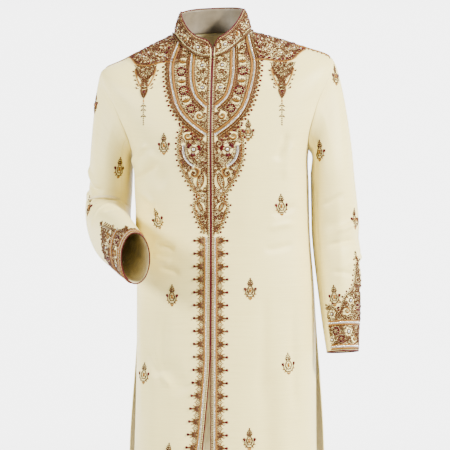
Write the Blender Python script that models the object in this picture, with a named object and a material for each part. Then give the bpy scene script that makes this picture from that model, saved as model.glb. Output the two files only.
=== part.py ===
"""Sherwani coat, as it hangs on a standing figure.

Metres, +Z up. The coat faces -Y and the wearer's left is +X. The origin lies between the shoulders, at
the height where the collar meets them. Turn is the angle round the body in degrees: 0 is the middle of
the front, 90 the wearer's left side, 180 the back and -90 the wearer's right side.
"""

import math
from collections import namedtuple

import bmesh
import bpy
import numpy as np

# Cloth
WALL = 0.002
COLLAR_WALL = 0.0028
SEAM_GAP = 0.0003
HALF_GAP = SEAM_GAP / 2

# Heights of the coat
HEM = -1.06
SLIT_TOP = -0.53
SLIT_FULL = -0.86
FRONT_PARTS = -0.655
ARMPIT = -0.235
SHOULDER_TIP = -0.055
NECK = 0.10

# Armhole, as the turn that it takes out of the front and the back
ARMHOLE_FRONT = 22
ARMHOLE_BACK = 24

# Side slits
SLIT_FRONT_TURN = 5
SLIT_BACK_TURN = 1
SLIT_FLARE = 0.011
SLIT_TUCK = 0.004
SLIT_REACH = 0.10

# Front edges
PIPING = 0.0014
EDGE_INSET = HALF_GAP + 2 * PIPING + SEAM_GAP
PARTING = 0.017
PARTING_RUN = 0.2
PARTING_POWER = 1.3

# Collar
COLLAR_CORNER = 0.018
COLLAR_NOTCH = 0.010
COLLAR_FRONT_HEIGHT = 0.036
COLLAR_SIDE_HEIGHT = 0.045
COLLAR_BACK_HEIGHT = 0.052
COLLAR_LEAN_FRONT = 0.006
COLLAR_LEAN_SIDE = 0.013
COLLAR_LEAN_BACK = 0.004
COLLAR_BULGE = 0.0015
CORD = 0.002
CORD_CLEAR = 0.0008

# Braids and underlap
BRAID_LIFT = 0.0007
BRAID_THICKNESS = 0.0012
YOKE_BRAID_WIDTH = 0.007
FRONT_BRAID_WIDTH = 0.006
FRONT_BRAID_OFFSET = 0.0025
FRONT_BRAID_TOP = -0.41
FRONT_BRAID_FOOT = HEM + 0.004
FRONT_BRAID_ROWS = 26
YOKE_BRAID_ROWS = 17
CUFF_BRAID_WIDTH = 0.004
UNDERLAP_CLEAR = 0.0004
UNDERLAP_DEPTH = WALL / 2 + PIPING + UNDERLAP_CLEAR
UNDERLAP_WALL = 0.0012
UNDERLAP_LEFT = 0.014
UNDERLAP_RIGHT = 0.012
UNDERLAP_LEVELS = (-0.63, 0.085)
UNDERLAP_ROWS = 20

# Counts of rows and columns
BODY_ROWS = 22
ARMHOLE_ROWS = 8
SHOULDER_ROWS = 6
FRONT_COLUMNS = 11
BACK_COLUMNS = 20
CAP_ROWS = 7
ARM_ROWS = 14
SLEEVE_STEP = 180 / ARMHOLE_ROWS
COLLAR_ROWS = 3
COLLAR_CORNER_STEPS = (0.08, 0.22, 0.45, 0.72)
TUBE_SIDES = 6
CUFF_PIPING_COLUMNS = 22
SECTION_STEPS = 400
ARM_STEPS = 40
HALVINGS = 40

# Small steps that measure directions, and the angle from which an edge stays sharp
TURN_STEP = 0.05
LEVEL_STEP = 0.001
ARM_STEP = 0.02
SEAM_STEP = 1.0
COLLAR_STEP = 0.2
SLEEVE_STEP_ASIDE = 2
SHARP_ANGLE = 50

# Shares of a fold's length over which it rises and dies away
FOLD_RISE = 0.3
FOLD_END = 0.25
SLEEVE_FOLD_END = 0.3

# The folds fade out below the collar's seam over this distance, from this far below it
CALM_REACH = 0.1
CALM_START = 0.03

# The front's turn within which its edge is looked for
EDGE_TURN = 60
PIPING_END = 0.002

Ring = namedtuple(
    "Ring",
    "level half_width shift side_y side_z front_y front_z back_y back_z square lean",
)

# The body's sections, from the hem to the neckline. Up to the armpit each is level. Above it, each
# runs over the shoulders, with its own heights at the sides, the front and the back.
RINGS = (
    Ring(-1.060, 0.2000, 0.020, 0.000, -1.060, -0.143, -1.060, 0.150, -1.060, 2.40, 0.000),
    Ring(-0.860, 0.1950, 0.020, 0.000, -0.860, -0.137, -0.860, 0.145, -0.860, 2.40, 0.000),
    Ring(-0.660, 0.1890, 0.021, 0.000, -0.660, -0.131, -0.660, 0.139, -0.660, 2.45, 0.000),
    Ring(-0.520, 0.1855, 0.019, 0.000, -0.520, -0.127, -0.520, 0.134, -0.520, 2.50, 0.000),
    Ring(-0.400, 0.1820, 0.0135, 0.000, -0.400, -0.122, -0.400, 0.121, -0.400, 2.60, 0.000),
    Ring(-0.310, 0.1820, 0.0115, 0.000, -0.310, -0.126, -0.310, 0.124, -0.310, 2.75, 0.000),
    Ring(-0.235, 0.1840, 0.009, 0.000, -0.235, -0.130, -0.235, 0.131, -0.235, 2.90, 0.010),
    Ring(-0.145, 0.2170, 0.005, 0.000, -0.147, -0.126, -0.182, 0.127, -0.163, 2.85, 0.024),
    Ring(-0.055, 0.2430, 0.001, 0.000, -0.055, -0.116, -0.132, 0.109, -0.096, 2.50, 0.042),
    Ring(0.000, 0.1900, -0.001, 0.000, -0.029, -0.108, -0.103, 0.094, -0.058, 2.30, 0.052),
    Ring(0.050, 0.1350, -0.004, -0.003, -0.005, -0.098, -0.074, 0.077, -0.020, 2.15, 0.048),
    Ring(0.100, 0.0810, -0.007, -0.008, 0.014, -0.085, -0.047, 0.060, 0.022, 2.05, 0.024),
)

Fold = namedtuple("Fold", "face start_x start_z end_x end_z half_width depth")

# The largest folds. A positive depth is a ridge and a negative one a trough.
FOLDS = (
    Fold("front", -0.165, -0.290, -0.112, -0.236, 0.016, 0.004),
    Fold("front", -0.160, -0.325, -0.098, -0.415, 0.020, -0.004),
    Fold("front", -0.150, -0.268, -0.085, -0.305, 0.018, -0.003),
    Fold("front", 0.082, -0.215, 0.066, -0.420, 0.028, 0.003),
    Fold("front", 0.060, -0.470, 0.066, -0.990, 0.032, 0.003),
    Fold("front", 0.135, -0.560, 0.150, -1.060, 0.022, 0.006),
    Fold("front", 0.112, -0.640, 0.116, -1.060, 0.018, -0.004),
    Fold("front", -0.098, -0.660, -0.048, -0.730, 0.018, -0.004),
    Fold("front", -0.120, -0.600, -0.128, -1.060, 0.024, 0.005),
    Fold("front", -0.066, -0.760, -0.064, -1.060, 0.022, 0.003),
    Fold("back", 0.000, -0.430, 0.006, -1.060, 0.030, 0.006),
    Fold("back", 0.085, -0.400, 0.104, -1.060, 0.026, -0.006),
    Fold("back", -0.070, -0.420, -0.092, -1.060, 0.026, -0.006),
    Fold("back", 0.135, -0.260, 0.060, -0.345, 0.018, -0.004),
    Fold("back", -0.130, -0.255, -0.055, -0.350, 0.018, -0.004),
    Fold("back", -0.020, -0.395, 0.070, -0.405, 0.016, -0.003),
)

ArmPoint = namedtuple("ArmPoint", "x y z half_width half_depth")

# The sleeves' middle lines with their sections: half width across the arm, half depth front to back
LEFT_ARM = (
    ArmPoint(0.2425, 0.004, -0.285, 0.0455, 0.0740),
    ArmPoint(0.2465, 0.006, -0.350, 0.0485, 0.0715),
    ArmPoint(0.2500, 0.004, -0.415, 0.0500, 0.0680),
    ArmPoint(0.2560, -0.006, -0.500, 0.0465, 0.0620),
    ArmPoint(0.2600, -0.018, -0.580, 0.0400, 0.0560),
    ArmPoint(0.2640, -0.027, -0.648, 0.0335, 0.0520),
)
RIGHT_ARM = (
    ArmPoint(-0.2245, 0.014, -0.262, 0.0450, 0.0720),
    ArmPoint(-0.2300, 0.026, -0.315, 0.0465, 0.0690),
    ArmPoint(-0.2330, 0.017, -0.364, 0.0480, 0.0660),
    ArmPoint(-0.2170, -0.036, -0.403, 0.0455, 0.0640),
    ArmPoint(-0.1790, -0.125, -0.428, 0.0380, 0.0585),
    ArmPoint(-0.1390, -0.215, -0.453, 0.0300, 0.0530),
)

# Places round a sleeve in degrees: 0 faces away from the body, 90 the front and 180 the body
FRONT_SEAM = 135
BACK_SEAM = 247.5
CAP_TURN_TOP = 0
CAP_TURN_PIT = 112
CAP_POWER = 2.0
CAP_PULL_TOP = 0.35
CAP_PULL_PIT = 0.9
CAP_LAND = 1.0
CUFF_BRAID_TURNS = {
    "left_low": (22.5, 45.0, 67.5, 90.0, 112.5, 133.0),
    "left_high": (22.5, 45.0, 67.5, 90.0, 112.5, 133.0),
    "right_low": (-67.5, -45.0, -22.5, 0.0, 22.5, 45.0, 67.5, 90.0, 112.5, 133.0),
    "right_high": (-67.5, -45.0, -22.5, 0.0, 22.5, 45.0, 56.25),
}
CUFF_BRAID_BACK = (0.007, 0.055)

SleeveFold = namedtuple("SleeveFold", "start_turn start_run end_turn end_run half_width depth")

# Round a sleeve, one degree counts as this far when a fold's line is measured
DEGREE_RUN = 0.001

# Folds of the sleeves, by the turn round the arm and the distance from the first arm section
LEFT_SLEEVE_FOLDS = (
    SleeveFold(-30, 0.125, 120, 0.160, 0.016, -0.004),
    SleeveFold(20, 0.080, 130, 0.115, 0.015, -0.0035),
    SleeveFold(-40, 0.195, 70, 0.175, 0.014, -0.003),
    SleeveFold(180, 0.120, 285, 0.150, 0.018, -0.004),
    SleeveFold(78, 0.010, 84, 0.290, 0.012, 0.003),
)
RIGHT_SLEEVE_FOLDS = (
    SleeveFold(10, 0.105, 170, 0.108, 0.013, -0.007),
    SleeveFold(-10, 0.020, 90, 0.062, 0.014, -0.004),
    SleeveFold(0, 0.060, 110, 0.080, 0.012, 0.004),
    SleeveFold(200, 0.110, 300, 0.100, 0.016, 0.004),
    SleeveFold(20, 0.165, 120, 0.150, 0.014, -0.004),
)

LinePoint = namedtuple("LinePoint", "out z")

# Middle lines of the yoke braids on each half of the front, as distances out from the opening
YOKE_OUTER = (
    LinePoint(0.0760, -0.022),
    LinePoint(0.0850, -0.056),
    LinePoint(0.0845, -0.085),
    LinePoint(0.0790, -0.115),
    LinePoint(0.0690, -0.148),
    LinePoint(0.0540, -0.171),
    LinePoint(0.0340, -0.190),
    LinePoint(0.0130, -0.205),
)
YOKE_INNER = (
    LinePoint(0.0430, -0.052),
    LinePoint(0.0435, -0.080),
    LinePoint(0.0400, -0.107),
    LinePoint(0.0320, -0.130),
    LinePoint(0.0160, -0.147),
)

Finish = namedtuple("Finish", "name red green blue roughness metallic")

SILK = Finish("silk", 0.86, 0.80, 0.64, 0.45, 0.0)
PIPING_CLOTH = Finish("piping", 0.16, 0.010, 0.022, 0.55, 0.0)
GOLD_BRAID = Finish("gold_braid", 0.46, 0.28, 0.09, 0.40, 0.7)
SILVER_BRAID = Finish("silver_braid", 0.62, 0.60, 0.58, 0.30, 0.8)


def between(rows, place, at):
    """The values of a table's rows at one place, on a smooth curve through the rows."""
    table = np.array(rows)
    slope = np.gradient(table, place, axis=0)
    at = min(max(at, place[0]), place[-1])
    first = min(int(np.searchsorted(place, at, side="right")) - 1, len(rows) - 2)
    span = place[first + 1] - place[first]
    u = (at - place[first]) / span
    ahead = u * u * (3 - 2 * u)
    leave = u * (1 - u) ** 2 * span
    arrive = u * u * (u - 1) * span
    value = table[first] * (1 - ahead) + table[first + 1] * ahead
    return value + slope[first] * leave + slope[first + 1] * arrive


def smooth_step(value):
    """0 up to 0, 1 from 1, and smooth between."""
    value = np.clip(value, 0, 1)
    return value * value * (3 - 2 * value)


def unit(vectors):
    """Each vector at length 1."""
    return vectors / np.maximum(np.linalg.norm(vectors, axis=-1, keepdims=True), 1e-12)


def ring_at(level):
    """The body's section at a level."""
    return Ring(*between(RINGS, [ring.level for ring in RINGS], level))


def plain_body(turn, level):
    """Points of the body's smooth form at some turns and one level."""
    ring = ring_at(level)
    angle = np.radians(np.asarray(turn, float))
    sine = np.sin(angle)
    cosine = np.cos(angle)
    power = 2 / ring.square
    across = ring.half_width * np.sign(sine) * np.abs(sine) ** power
    reach_y = np.where(cosine > 0, ring.front_y, ring.back_y) - ring.side_y
    reach_z = np.where(cosine > 0, ring.front_z, ring.back_z) - ring.side_z
    x = ring.shift + across
    y = ring.side_y + reach_y * np.abs(cosine) ** power
    z = ring.side_z + reach_z * cosine**2 + ring.lean * across
    return np.stack([x, y, z], axis=-1)


def body_normals(turn, level):
    """Outward directions of the smooth form."""
    turn = np.asarray(turn, float)
    along = plain_body(turn + TURN_STEP, level) - plain_body(turn - TURN_STEP, level)
    up = plain_body(turn, level + LEVEL_STEP) - plain_body(turn, level - LEVEL_STEP)
    return unit(np.cross(along, up))


def fold_height(points, face):
    """How far the folds of one face raise or sink its points."""
    height = np.zeros(len(points))
    for fold in FOLDS:
        if fold.face != face:
            continue
        start = np.array([fold.start_x, fold.start_z])
        run = np.array([fold.end_x, fold.end_z]) - start
        here = points[:, [0, 2]] - start
        share = np.clip(here @ run / (run @ run), 0, 1)
        away = np.linalg.norm(here - share[:, None] * run, axis=1)
        runs_out = fold.end_z <= HEM
        ends = smooth_step(share / FOLD_RISE) * smooth_step((1 - share) / FOLD_END + runs_out)
        height += fold.depth * ends * np.exp(-((away / fold.half_width) ** 2))
    return height


def slit_share(level):
    """0 above the side slits, 1 where they are fully open."""
    return float(smooth_step((SLIT_TOP - level) / (SLIT_TOP - SLIT_FULL)))


def body_points(turn, level, face):
    """Outer points and outward directions of the cloth at some turns and one level."""
    plain = plain_body(turn, level)
    normals = body_normals(turn, level)
    ring = ring_at(level)
    from_side = np.abs(plain[:, 1] - ring.side_y)
    near_side = np.exp(-((from_side / SLIT_REACH) ** 2))
    flare = SLIT_FLARE if face == "back" else -SLIT_TUCK
    lift = fold_height(plain, face) * edge_calm(plain, level)
    lift += flare * slit_share(level) * near_side
    return plain + normals * lift[:, None], normals


def edge_calm(points, level):
    """Folds fade out at the neckline, so that the collar's seam stays smooth."""
    return smooth_step((NECK - CALM_START - level) / CALM_REACH) * np.ones(len(points))


def turn_at_x(x, level):
    """The turn at which the front of a section reaches x."""
    ring = ring_at(level)
    share = np.clip((x - ring.shift) / ring.half_width, -1, 1)
    return np.degrees(np.arcsin(np.sign(share) * np.abs(share) ** (ring.square / 2)))


def armhole_turn(level, size):
    """How much turn the armhole takes at a level."""
    share = (level - ARMPIT) / (SHOULDER_TIP - ARMPIT)
    if not 0 < share < 1:
        return 0.0
    return size * 2 * math.sqrt(share * (1 - share))


def front_outer_turn(level):
    """The turn at which a front ends: side seam or slit, armhole, then shoulder seam."""
    return 90 - armhole_turn(level, ARMHOLE_FRONT) - SLIT_FRONT_TURN * slit_share(level)


def back_outer_turn(level):
    """The turn from the front at which the back begins."""
    return 90 + armhole_turn(level, ARMHOLE_BACK) + SLIT_BACK_TURN * slit_share(level)


def levels():
    """The levels of a panel's rows, closer together at both ends of the armhole."""
    body = np.linspace(HEM, ARMPIT, BODY_ROWS)
    swing = np.linspace(0, math.pi, ARMHOLE_ROWS + 1)
    armhole = ARMPIT + (SHOULDER_TIP - ARMPIT) * (1 - np.cos(swing)) / 2
    shoulder = np.linspace(SHOULDER_TIP, NECK, SHOULDER_ROWS + 1)
    return np.concatenate([body, armhole[1:], shoulder[1:]])


def arc_turns(start, end, level, places):
    """Turns between two turns at shares of the distance along the section, and that distance."""
    dense = np.linspace(start, end, SECTION_STEPS)
    points = plain_body(dense, level)
    steps = np.linalg.norm(np.diff(points, axis=0), axis=1)
    length = np.concatenate([[0], np.cumsum(steps)])
    return np.interp(np.asarray(places) * length[-1], length, dense), length[-1]


def panel_row(start, end, level, columns, first_inset, last_inset):
    """Evenly spaced turns of one row, set back from the seams at both ends."""
    _, length = arc_turns(start, end, level, [0])
    places = np.linspace(first_inset / length, 1 - last_inset / length, columns + 1)
    return arc_turns(start, end, level, places)[0]


def parting(level):
    """How far the right front's edge has swung away from the opening."""
    below = max(0.0, FRONT_PARTS - level)
    return PARTING * (below / PARTING_RUN) ** PARTING_POWER


def add_solid(name, points, faces, finish):
    """One closed, named object with its own material."""
    mesh = bpy.data.meshes.new(name)
    mesh.from_pydata([tuple(map(float, point)) for point in points], [], faces)
    work = bmesh.new()
    work.from_mesh(mesh)
    bmesh.ops.recalc_face_normals(work, faces=work.faces[:])
    if work.calc_volume(signed=True) < 0:
        bmesh.ops.reverse_faces(work, faces=work.faces[:])
    work.to_mesh(mesh)
    work.free()
    mesh.shade_smooth()
    mesh.set_sharp_from_angle(angle=math.radians(SHARP_ANGLE))
    solid = bpy.data.objects.new(name, mesh)
    bpy.context.scene.collection.objects.link(solid)
    mesh.materials.append(material_for(finish))
    return solid


def material_for(finish):
    """The material of a finish, made once."""
    found = bpy.data.materials.get(finish.name)
    if found:
        return found
    material = bpy.data.materials.new(finish.name)
    material.use_nodes = True
    shader = material.node_tree.nodes["Principled BSDF"]
    shader.inputs["Base Color"].default_value = (finish.red, finish.green, finish.blue, 1)
    shader.inputs["Roughness"].default_value = finish.roughness
    shader.inputs["Metallic"].default_value = finish.metallic
    return material


def add_wall(name, outer, inner, finish, round_way=False):
    """A wall from two grids of points with the same rows and columns."""
    rows, columns = outer.shape[:2]
    size = rows * columns
    points = np.concatenate([outer.reshape(-1, 3), inner.reshape(-1, 3)])
    faces = []
    last = columns if round_way else columns - 1
    for row in range(rows - 1):
        for column in range(last):
            a = row * columns + column
            b = row * columns + (column + 1) % columns
            c = b + columns
            d = a + columns
            faces.append((a, b, c, d))
            faces.append((a + size, d + size, c + size, b + size))
    for column in range(last):
        beside = (column + 1) % columns
        top = (rows - 1) * columns
        faces.append((column, column + size, beside + size, beside))
        faces.append((top + column, top + beside, top + beside + size, top + column + size))
    if not round_way:
        for row in range(rows - 1):
            a = row * columns
            d = a + columns
            faces.append((a, d, d + size, a + size))
            b = a + columns - 1
            c = b + columns
            faces.append((b, b + size, c + size, c))
    return add_solid(name, points, faces, finish)


def add_tube(name, centres, normals, radius, finish, round_way=False):
    """A round cord along a line of centres."""
    ways = path_directions(centres, round_way)
    across = unit(np.cross(ways, normals))
    upright = unit(np.cross(across, ways))
    angles = np.linspace(0, 2 * math.pi, TUBE_SIDES, endpoint=False)
    rings = [centres + radius * (math.cos(a) * upright + math.sin(a) * across) for a in angles]
    grid = np.stack(rings, axis=1)
    count = len(centres)
    faces = []
    for i in range(count if round_way else count - 1):
        for j in range(TUBE_SIDES):
            k = (j + 1) % TUBE_SIDES
            ahead = (i + 1) % count
            faces.append(
                (i * TUBE_SIDES + j, i * TUBE_SIDES + k, ahead * TUBE_SIDES + k, ahead * TUBE_SIDES + j)
            )
    if not round_way:
        faces.append(tuple(range(TUBE_SIDES)))
        faces.append(tuple((count - 1) * TUBE_SIDES + j for j in range(TUBE_SIDES)))
    return add_solid(name, grid.reshape(-1, 3), faces, finish)


def path_directions(centres, round_way=False):
    """The direction of a line at each of its points."""
    if round_way:
        return unit(np.roll(centres, -1, axis=0) - np.roll(centres, 1, axis=0))
    return unit(np.gradient(centres, axis=0))


def add_strip(name, line, normals, width, finish):
    """A flat braid along a line that lies on the cloth, lifted just clear of it."""
    across = unit(np.cross(path_directions(line), normals))
    grid = np.stack([line - across * width / 2, line, line + across * width / 2], axis=1)
    out = normals[:, None, :]
    upper = grid + out * (BRAID_LIFT + BRAID_THICKNESS)
    lower = grid + out * BRAID_LIFT
    return add_wall(name, upper, lower, finish)


def front_row(level, side):
    """The turns of one row of a front, from its edge at the opening outwards."""
    start = float(turn_at_x(0.0, level))
    inset = EDGE_INSET + (parting(level) if side < 0 else 0)
    end = side * front_outer_turn(level)
    return panel_row(start, end, level, FRONT_COLUMNS, inset, HALF_GAP)


def back_row(level):
    """The turns of one row of the back."""
    start = back_outer_turn(level)
    return panel_row(start, 360 - start, level, BACK_COLUMNS, HALF_GAP, HALF_GAP)


def make_fronts():
    """The two fronts, each from its edge at the opening to the side seam, armhole and shoulder."""
    for name, side in (("front_left", 1), ("front_right", -1)):
        outer = []
        inner = []
        for level in levels():
            turns = front_row(level, side)
            points, normals = body_points(turns, level, "front")
            outer.append(points)
            inner.append(points - normals * WALL)
        add_wall(name, np.array(outer), np.array(inner), SILK)


def make_back():
    """The back, from one side seam round to the other."""
    outer = []
    inner = []
    for level in levels():
        turns = back_row(level)
        points, normals = body_points(turns, level, "back")
        outer.append(points)
        inner.append(points - normals * WALL)
    add_wall("back", np.array(outer), np.array(inner), SILK)


def front_edge_line(level_list, side, distance):
    """Points and normals along one side of the opening, at a distance from it."""
    points = []
    normals = []
    for level in level_list:
        start = float(turn_at_x(0.0, level))
        away = distance + (parting(level) if side < 0 else 0)
        _, length = arc_turns(start, side * EDGE_TURN, level, [0])
        turns, _ = arc_turns(start, side * EDGE_TURN, level, [away / length])
        point, normal = body_points(turns, level, "front")
        points.append(point[0])
        normals.append(normal[0])
    return np.array(points), np.array(normals)


def make_front_pipings():
    """Maroon piping down both edges of the front."""
    level_list = levels()
    level_list[-1] -= PIPING_END
    for name, side in (("front_piping_left", 1), ("front_piping_right", -1)):
        points, normals = front_edge_line(level_list, side, HALF_GAP + PIPING)
        add_tube(name, points - normals * WALL / 2, normals, PIPING, PIPING_CLOTH)


def make_front_braids():
    """The braids beside the opening, from the medallion to the hem."""
    level_list = np.linspace(FRONT_BRAID_FOOT, FRONT_BRAID_TOP, FRONT_BRAID_ROWS)
    distance = EDGE_INSET + FRONT_BRAID_OFFSET + FRONT_BRAID_WIDTH / 2
    for name, side in (("front_braid_left", 1), ("front_braid_right", -1)):
        points, normals = front_edge_line(level_list, side, distance)
        add_strip(name, points, normals, FRONT_BRAID_WIDTH, SILVER_BRAID)


def make_underlap():
    """The strip behind the opening that the parted edges show."""
    outer = []
    inner = []
    for level in np.linspace(*UNDERLAP_LEVELS, UNDERLAP_ROWS):
        left, left_normal = front_edge_line([level], 1, UNDERLAP_LEFT)
        middle, middle_normal = front_edge_line([level], 1, 0.0)
        right, right_normal = front_edge_line([level], -1, UNDERLAP_RIGHT)
        points = np.concatenate([right, middle, left])
        normals = np.concatenate([right_normal, middle_normal, left_normal])
        outer.append(points - normals * UNDERLAP_DEPTH)
        inner.append(points - normals * (UNDERLAP_DEPTH + UNDERLAP_WALL))
    add_wall("underlap", np.array(outer), np.array(inner), PIPING_CLOTH)


def front_place(x, z):
    """The point and normal of the front's cloth that are seen at x and z from straight ahead."""
    low = HEM
    high = NECK
    for _ in range(HALVINGS):
        level = (low + high) / 2
        point = plain_body([turn_at_x(x, level)], level)[0]
        if point[2] < z:
            low = level
        else:
            high = level
    points, normals = body_points(np.array([turn_at_x(x, level)]), level, "front")
    return points[0], normals[0]


def make_yoke_braids():
    """The two rows of thick braid that run round the neck and meet at the opening."""
    for row, table in (("outer", YOKE_OUTER), ("inner", YOKE_INNER)):
        place = np.arange(len(table))
        for name, side in (("left", 1), ("right", -1)):
            points = []
            normals = []
            for at in np.linspace(0, len(table) - 1, YOKE_BRAID_ROWS):
                out, z = between(table, place, at)
                point, normal = front_place(side * out, z)
                points.append(point)
                normals.append(normal)
            title = "yoke_" + row + "_" + name
            add_strip(title, np.array(points), np.array(normals), YOKE_BRAID_WIDTH, SILVER_BRAID)


def neckline():
    """Turns, points, normals and upward ways along the panels' top edge, with the collar's corners.

    It runs from the left front's edge round the back to the right front's edge. Points between the
    panels' own ones lie on the straight stretch between them, so that the collar's seam stays even.
    """
    right = 360 + front_row(NECK, -1)[::-1]
    own = np.concatenate([front_row(NECK, 1), back_row(NECK)[1:-1], right])
    points = plain_body(own, NECK)
    run = np.concatenate([[0], np.cumsum(np.linalg.norm(np.diff(points, axis=0), axis=1))])
    corner = COLLAR_CORNER * np.array(COLLAR_CORNER_STEPS)
    places = np.unique(np.concatenate([run, corner, run[-1] - corner]).round(6))
    turns = np.interp(places, run, own)
    points = np.stack([np.interp(places, run, points[:, axis]) for axis in range(3)], axis=1)
    normals = body_normals(turns, NECK)
    upward = unit(plain_body(turns, NECK) - plain_body(turns, NECK - LEVEL_STEP))
    return turns, points, normals, upward, np.minimum(places, places[-1] - places)


def collar_height(turns, from_end):
    """The collar's height: rounded at its front corners, and highest at the back."""
    corner = np.clip(from_end / COLLAR_CORNER, 0, 1)
    rounded = np.sqrt(1 - (1 - corner) ** 2)
    front = COLLAR_NOTCH + (COLLAR_FRONT_HEIGHT - COLLAR_NOTCH) * rounded
    half_way = (1 - np.cos(np.radians(turns))) / 2
    rise = np.interp(half_way, [0, 0.5, 1], [0, 1, 1])
    back = np.interp(half_way, [0.5, 1], [0, 1])
    side_rise = (COLLAR_SIDE_HEIGHT - COLLAR_FRONT_HEIGHT) * smooth_step(rise)
    return front + side_rise + (COLLAR_BACK_HEIGHT - COLLAR_SIDE_HEIGHT) * smooth_step(back)


def collar_grid():
    """Outer points and outward directions of the collar, in rows from its seam up to its edge."""
    turns, base, _, upward, from_end = neckline()
    base = base + upward * SEAM_GAP
    along = plain_body(turns + COLLAR_STEP, NECK) - plain_body(turns - COLLAR_STEP, NECK)
    outward = unit(np.cross(along, [0, 0, 1]))
    height = collar_height(turns, from_end)
    facing = np.cos(np.radians(turns))
    lean = COLLAR_LEAN_SIDE + (COLLAR_LEAN_FRONT - COLLAR_LEAN_SIDE) * np.clip(facing, 0, 1) ** 2
    lean += (COLLAR_LEAN_BACK - COLLAR_LEAN_SIDE) * np.clip(-facing, 0, 1) ** 2
    rows = []
    for share in np.linspace(0, 1, COLLAR_ROWS + 1):
        rise = height[:, None] * share * np.array([0, 0, 1])
        inward = lean * height / COLLAR_SIDE_HEIGHT * share
        bulge = COLLAR_BULGE * math.sin(math.pi * share)
        rows.append(base + rise + outward * (bulge - inward)[:, None])
    return np.array(rows), outward


def make_collar():
    """The stand collar, its piping and the cord along its seam."""
    outer, outward = collar_grid()
    inner = outer - outward[None] * COLLAR_WALL
    add_wall("collar", outer, inner, SILK)

    middle = (outer + inner) / 2
    edge = np.concatenate([middle[:-1, 0], middle[-1], middle[-2::-1, -1]])
    first = outward[:1].repeat(COLLAR_ROWS, 0)
    last = outward[-1:].repeat(COLLAR_ROWS, 0)
    facing = np.concatenate([first, outward, last])
    ways = path_directions(edge)
    away = unit(np.cross(ways, facing))
    heart = middle[0].mean(axis=0)
    if np.mean(np.einsum("ij,ij->i", away, edge - heart)) < 0:
        away = -away
    line = edge + away * (PIPING + SEAM_GAP)
    line = line[1:-1]
    facing = facing[1:-1]
    add_tube("collar_piping", line, facing, PIPING, PIPING_CLOTH)

    _, base, normals, _, _ = neckline()
    opening = 1 + np.einsum("ij,ij->i", normals, outward)
    corner = base + (CORD + CORD_CLEAR) / opening[:, None] * (normals + outward)
    add_tube("collar_cord", corner, outward, CORD, GOLD_BRAID)


def armhole_places(around):
    """Turn and level of the armhole at places round the sleeve, for the wearer's left side."""
    angle = np.radians(around)
    level = ARMPIT + (SHOULDER_TIP - ARMPIT) * (1 + np.cos(angle)) / 2
    sine = np.sin(angle)
    turn = 90 - np.where(sine > 0, ARMHOLE_FRONT, ARMHOLE_BACK) * sine
    return turn, level


def armhole_points(around, side):
    """Points, normals and the way out of the body along the armhole's edge."""
    turn, level = armhole_places(around)
    points = np.array([plain_body([side * t], l)[0] for t, l in zip(turn, level)])
    normals = np.array([body_normals([side * t], l)[0] for t, l in zip(turn, level)])
    next_turn, next_level = armhole_places(around + SEAM_STEP)
    last_turn, last_level = armhole_places(around - SEAM_STEP)
    ahead = np.array([plain_body([side * t], l)[0] for t, l in zip(next_turn, next_level)])
    behind = np.array([plain_body([side * t], l)[0] for t, l in zip(last_turn, last_level)])
    rim = unit(np.cross(unit(ahead - behind), normals)) * side
    middle = points.mean(axis=0)
    if np.mean(np.einsum("ij,ij->i", rim, points - middle)) > 0:
        rim = -rim
    return points, normals, rim


def arm_station(table, at, side):
    """Centre, direction, outward and forward axes and half sizes at a place along an arm's table."""
    place = np.arange(len(table))
    here = between(table, place, at)
    ahead = between(table, place, min(at + ARM_STEP, len(table) - 1))
    behind = between(table, place, max(at - ARM_STEP, 0))
    way = unit(ahead[:3] - behind[:3])
    outward = np.array([side, 0, 0], float)
    outward = unit(outward - way * (outward @ way))
    forward = side * np.cross(way, outward)
    return here, way, outward, forward


def sleeve_fold_height(around, run, folds):
    """How far the sleeve's folds raise or sink its points."""
    height = np.zeros(len(around))
    for fold in folds:
        start = np.array([fold.start_turn * DEGREE_RUN, fold.start_run])
        way = np.array([fold.end_turn * DEGREE_RUN, fold.end_run]) - start
        for lap in (-360, 0, 360):
            here = np.stack([(around + lap) * DEGREE_RUN, np.full(len(around), run)], axis=1) - start
            share = np.clip(here @ way / (way @ way), 0, 1)
            away = np.linalg.norm(here - share[:, None] * way, axis=1)
            ends = smooth_step(share / SLEEVE_FOLD_END) * smooth_step((1 - share) / SLEEVE_FOLD_END)
            height += fold.depth * ends * np.exp(-((away / fold.half_width) ** 2))
    return height


def arm_section(table, at, side, around, folds):
    """Points and outward directions of one section of a sleeve."""
    here, way, outward, forward = arm_station(table, at, side)
    angle = np.radians(around)[:, None]
    half_width = here[3]
    half_depth = here[4]
    points = here[:3] + half_width * np.cos(angle) * outward + half_depth * np.sin(angle) * forward
    normals = unit(half_depth * np.cos(angle) * outward + half_width * np.sin(angle) * forward)
    run = arm_length(table, at)
    lift = sleeve_fold_height(around, run, folds)
    return points + normals * lift[:, None], normals, way


def arm_length(table, at):
    """The distance along an arm's middle line from its first section."""
    place = np.arange(len(table))
    steps = [between(table, place, part)[:3] for part in np.linspace(0, at, ARM_STEPS)]
    return float(np.linalg.norm(np.diff(steps, axis=0), axis=1).sum())


def cap_start(around, side):
    """The sleeve's first points at the armhole, the ways they leave it and their outward directions."""
    start, normals, rim = armhole_points(around, side)
    half_way = (1 - np.cos(np.radians(around))) / 2
    lift = np.radians(CAP_TURN_TOP + (CAP_TURN_PIT - CAP_TURN_TOP) * half_way**CAP_POWER)[:, None]
    leave = np.cos(lift) * rim + np.sin(lift) * normals
    facing = np.cos(lift) * normals - np.sin(lift) * rim
    pull = CAP_PULL_TOP + (CAP_PULL_PIT - CAP_PULL_TOP) * half_way[:, None]
    return start + leave * SEAM_GAP, leave * pull, facing


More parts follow.
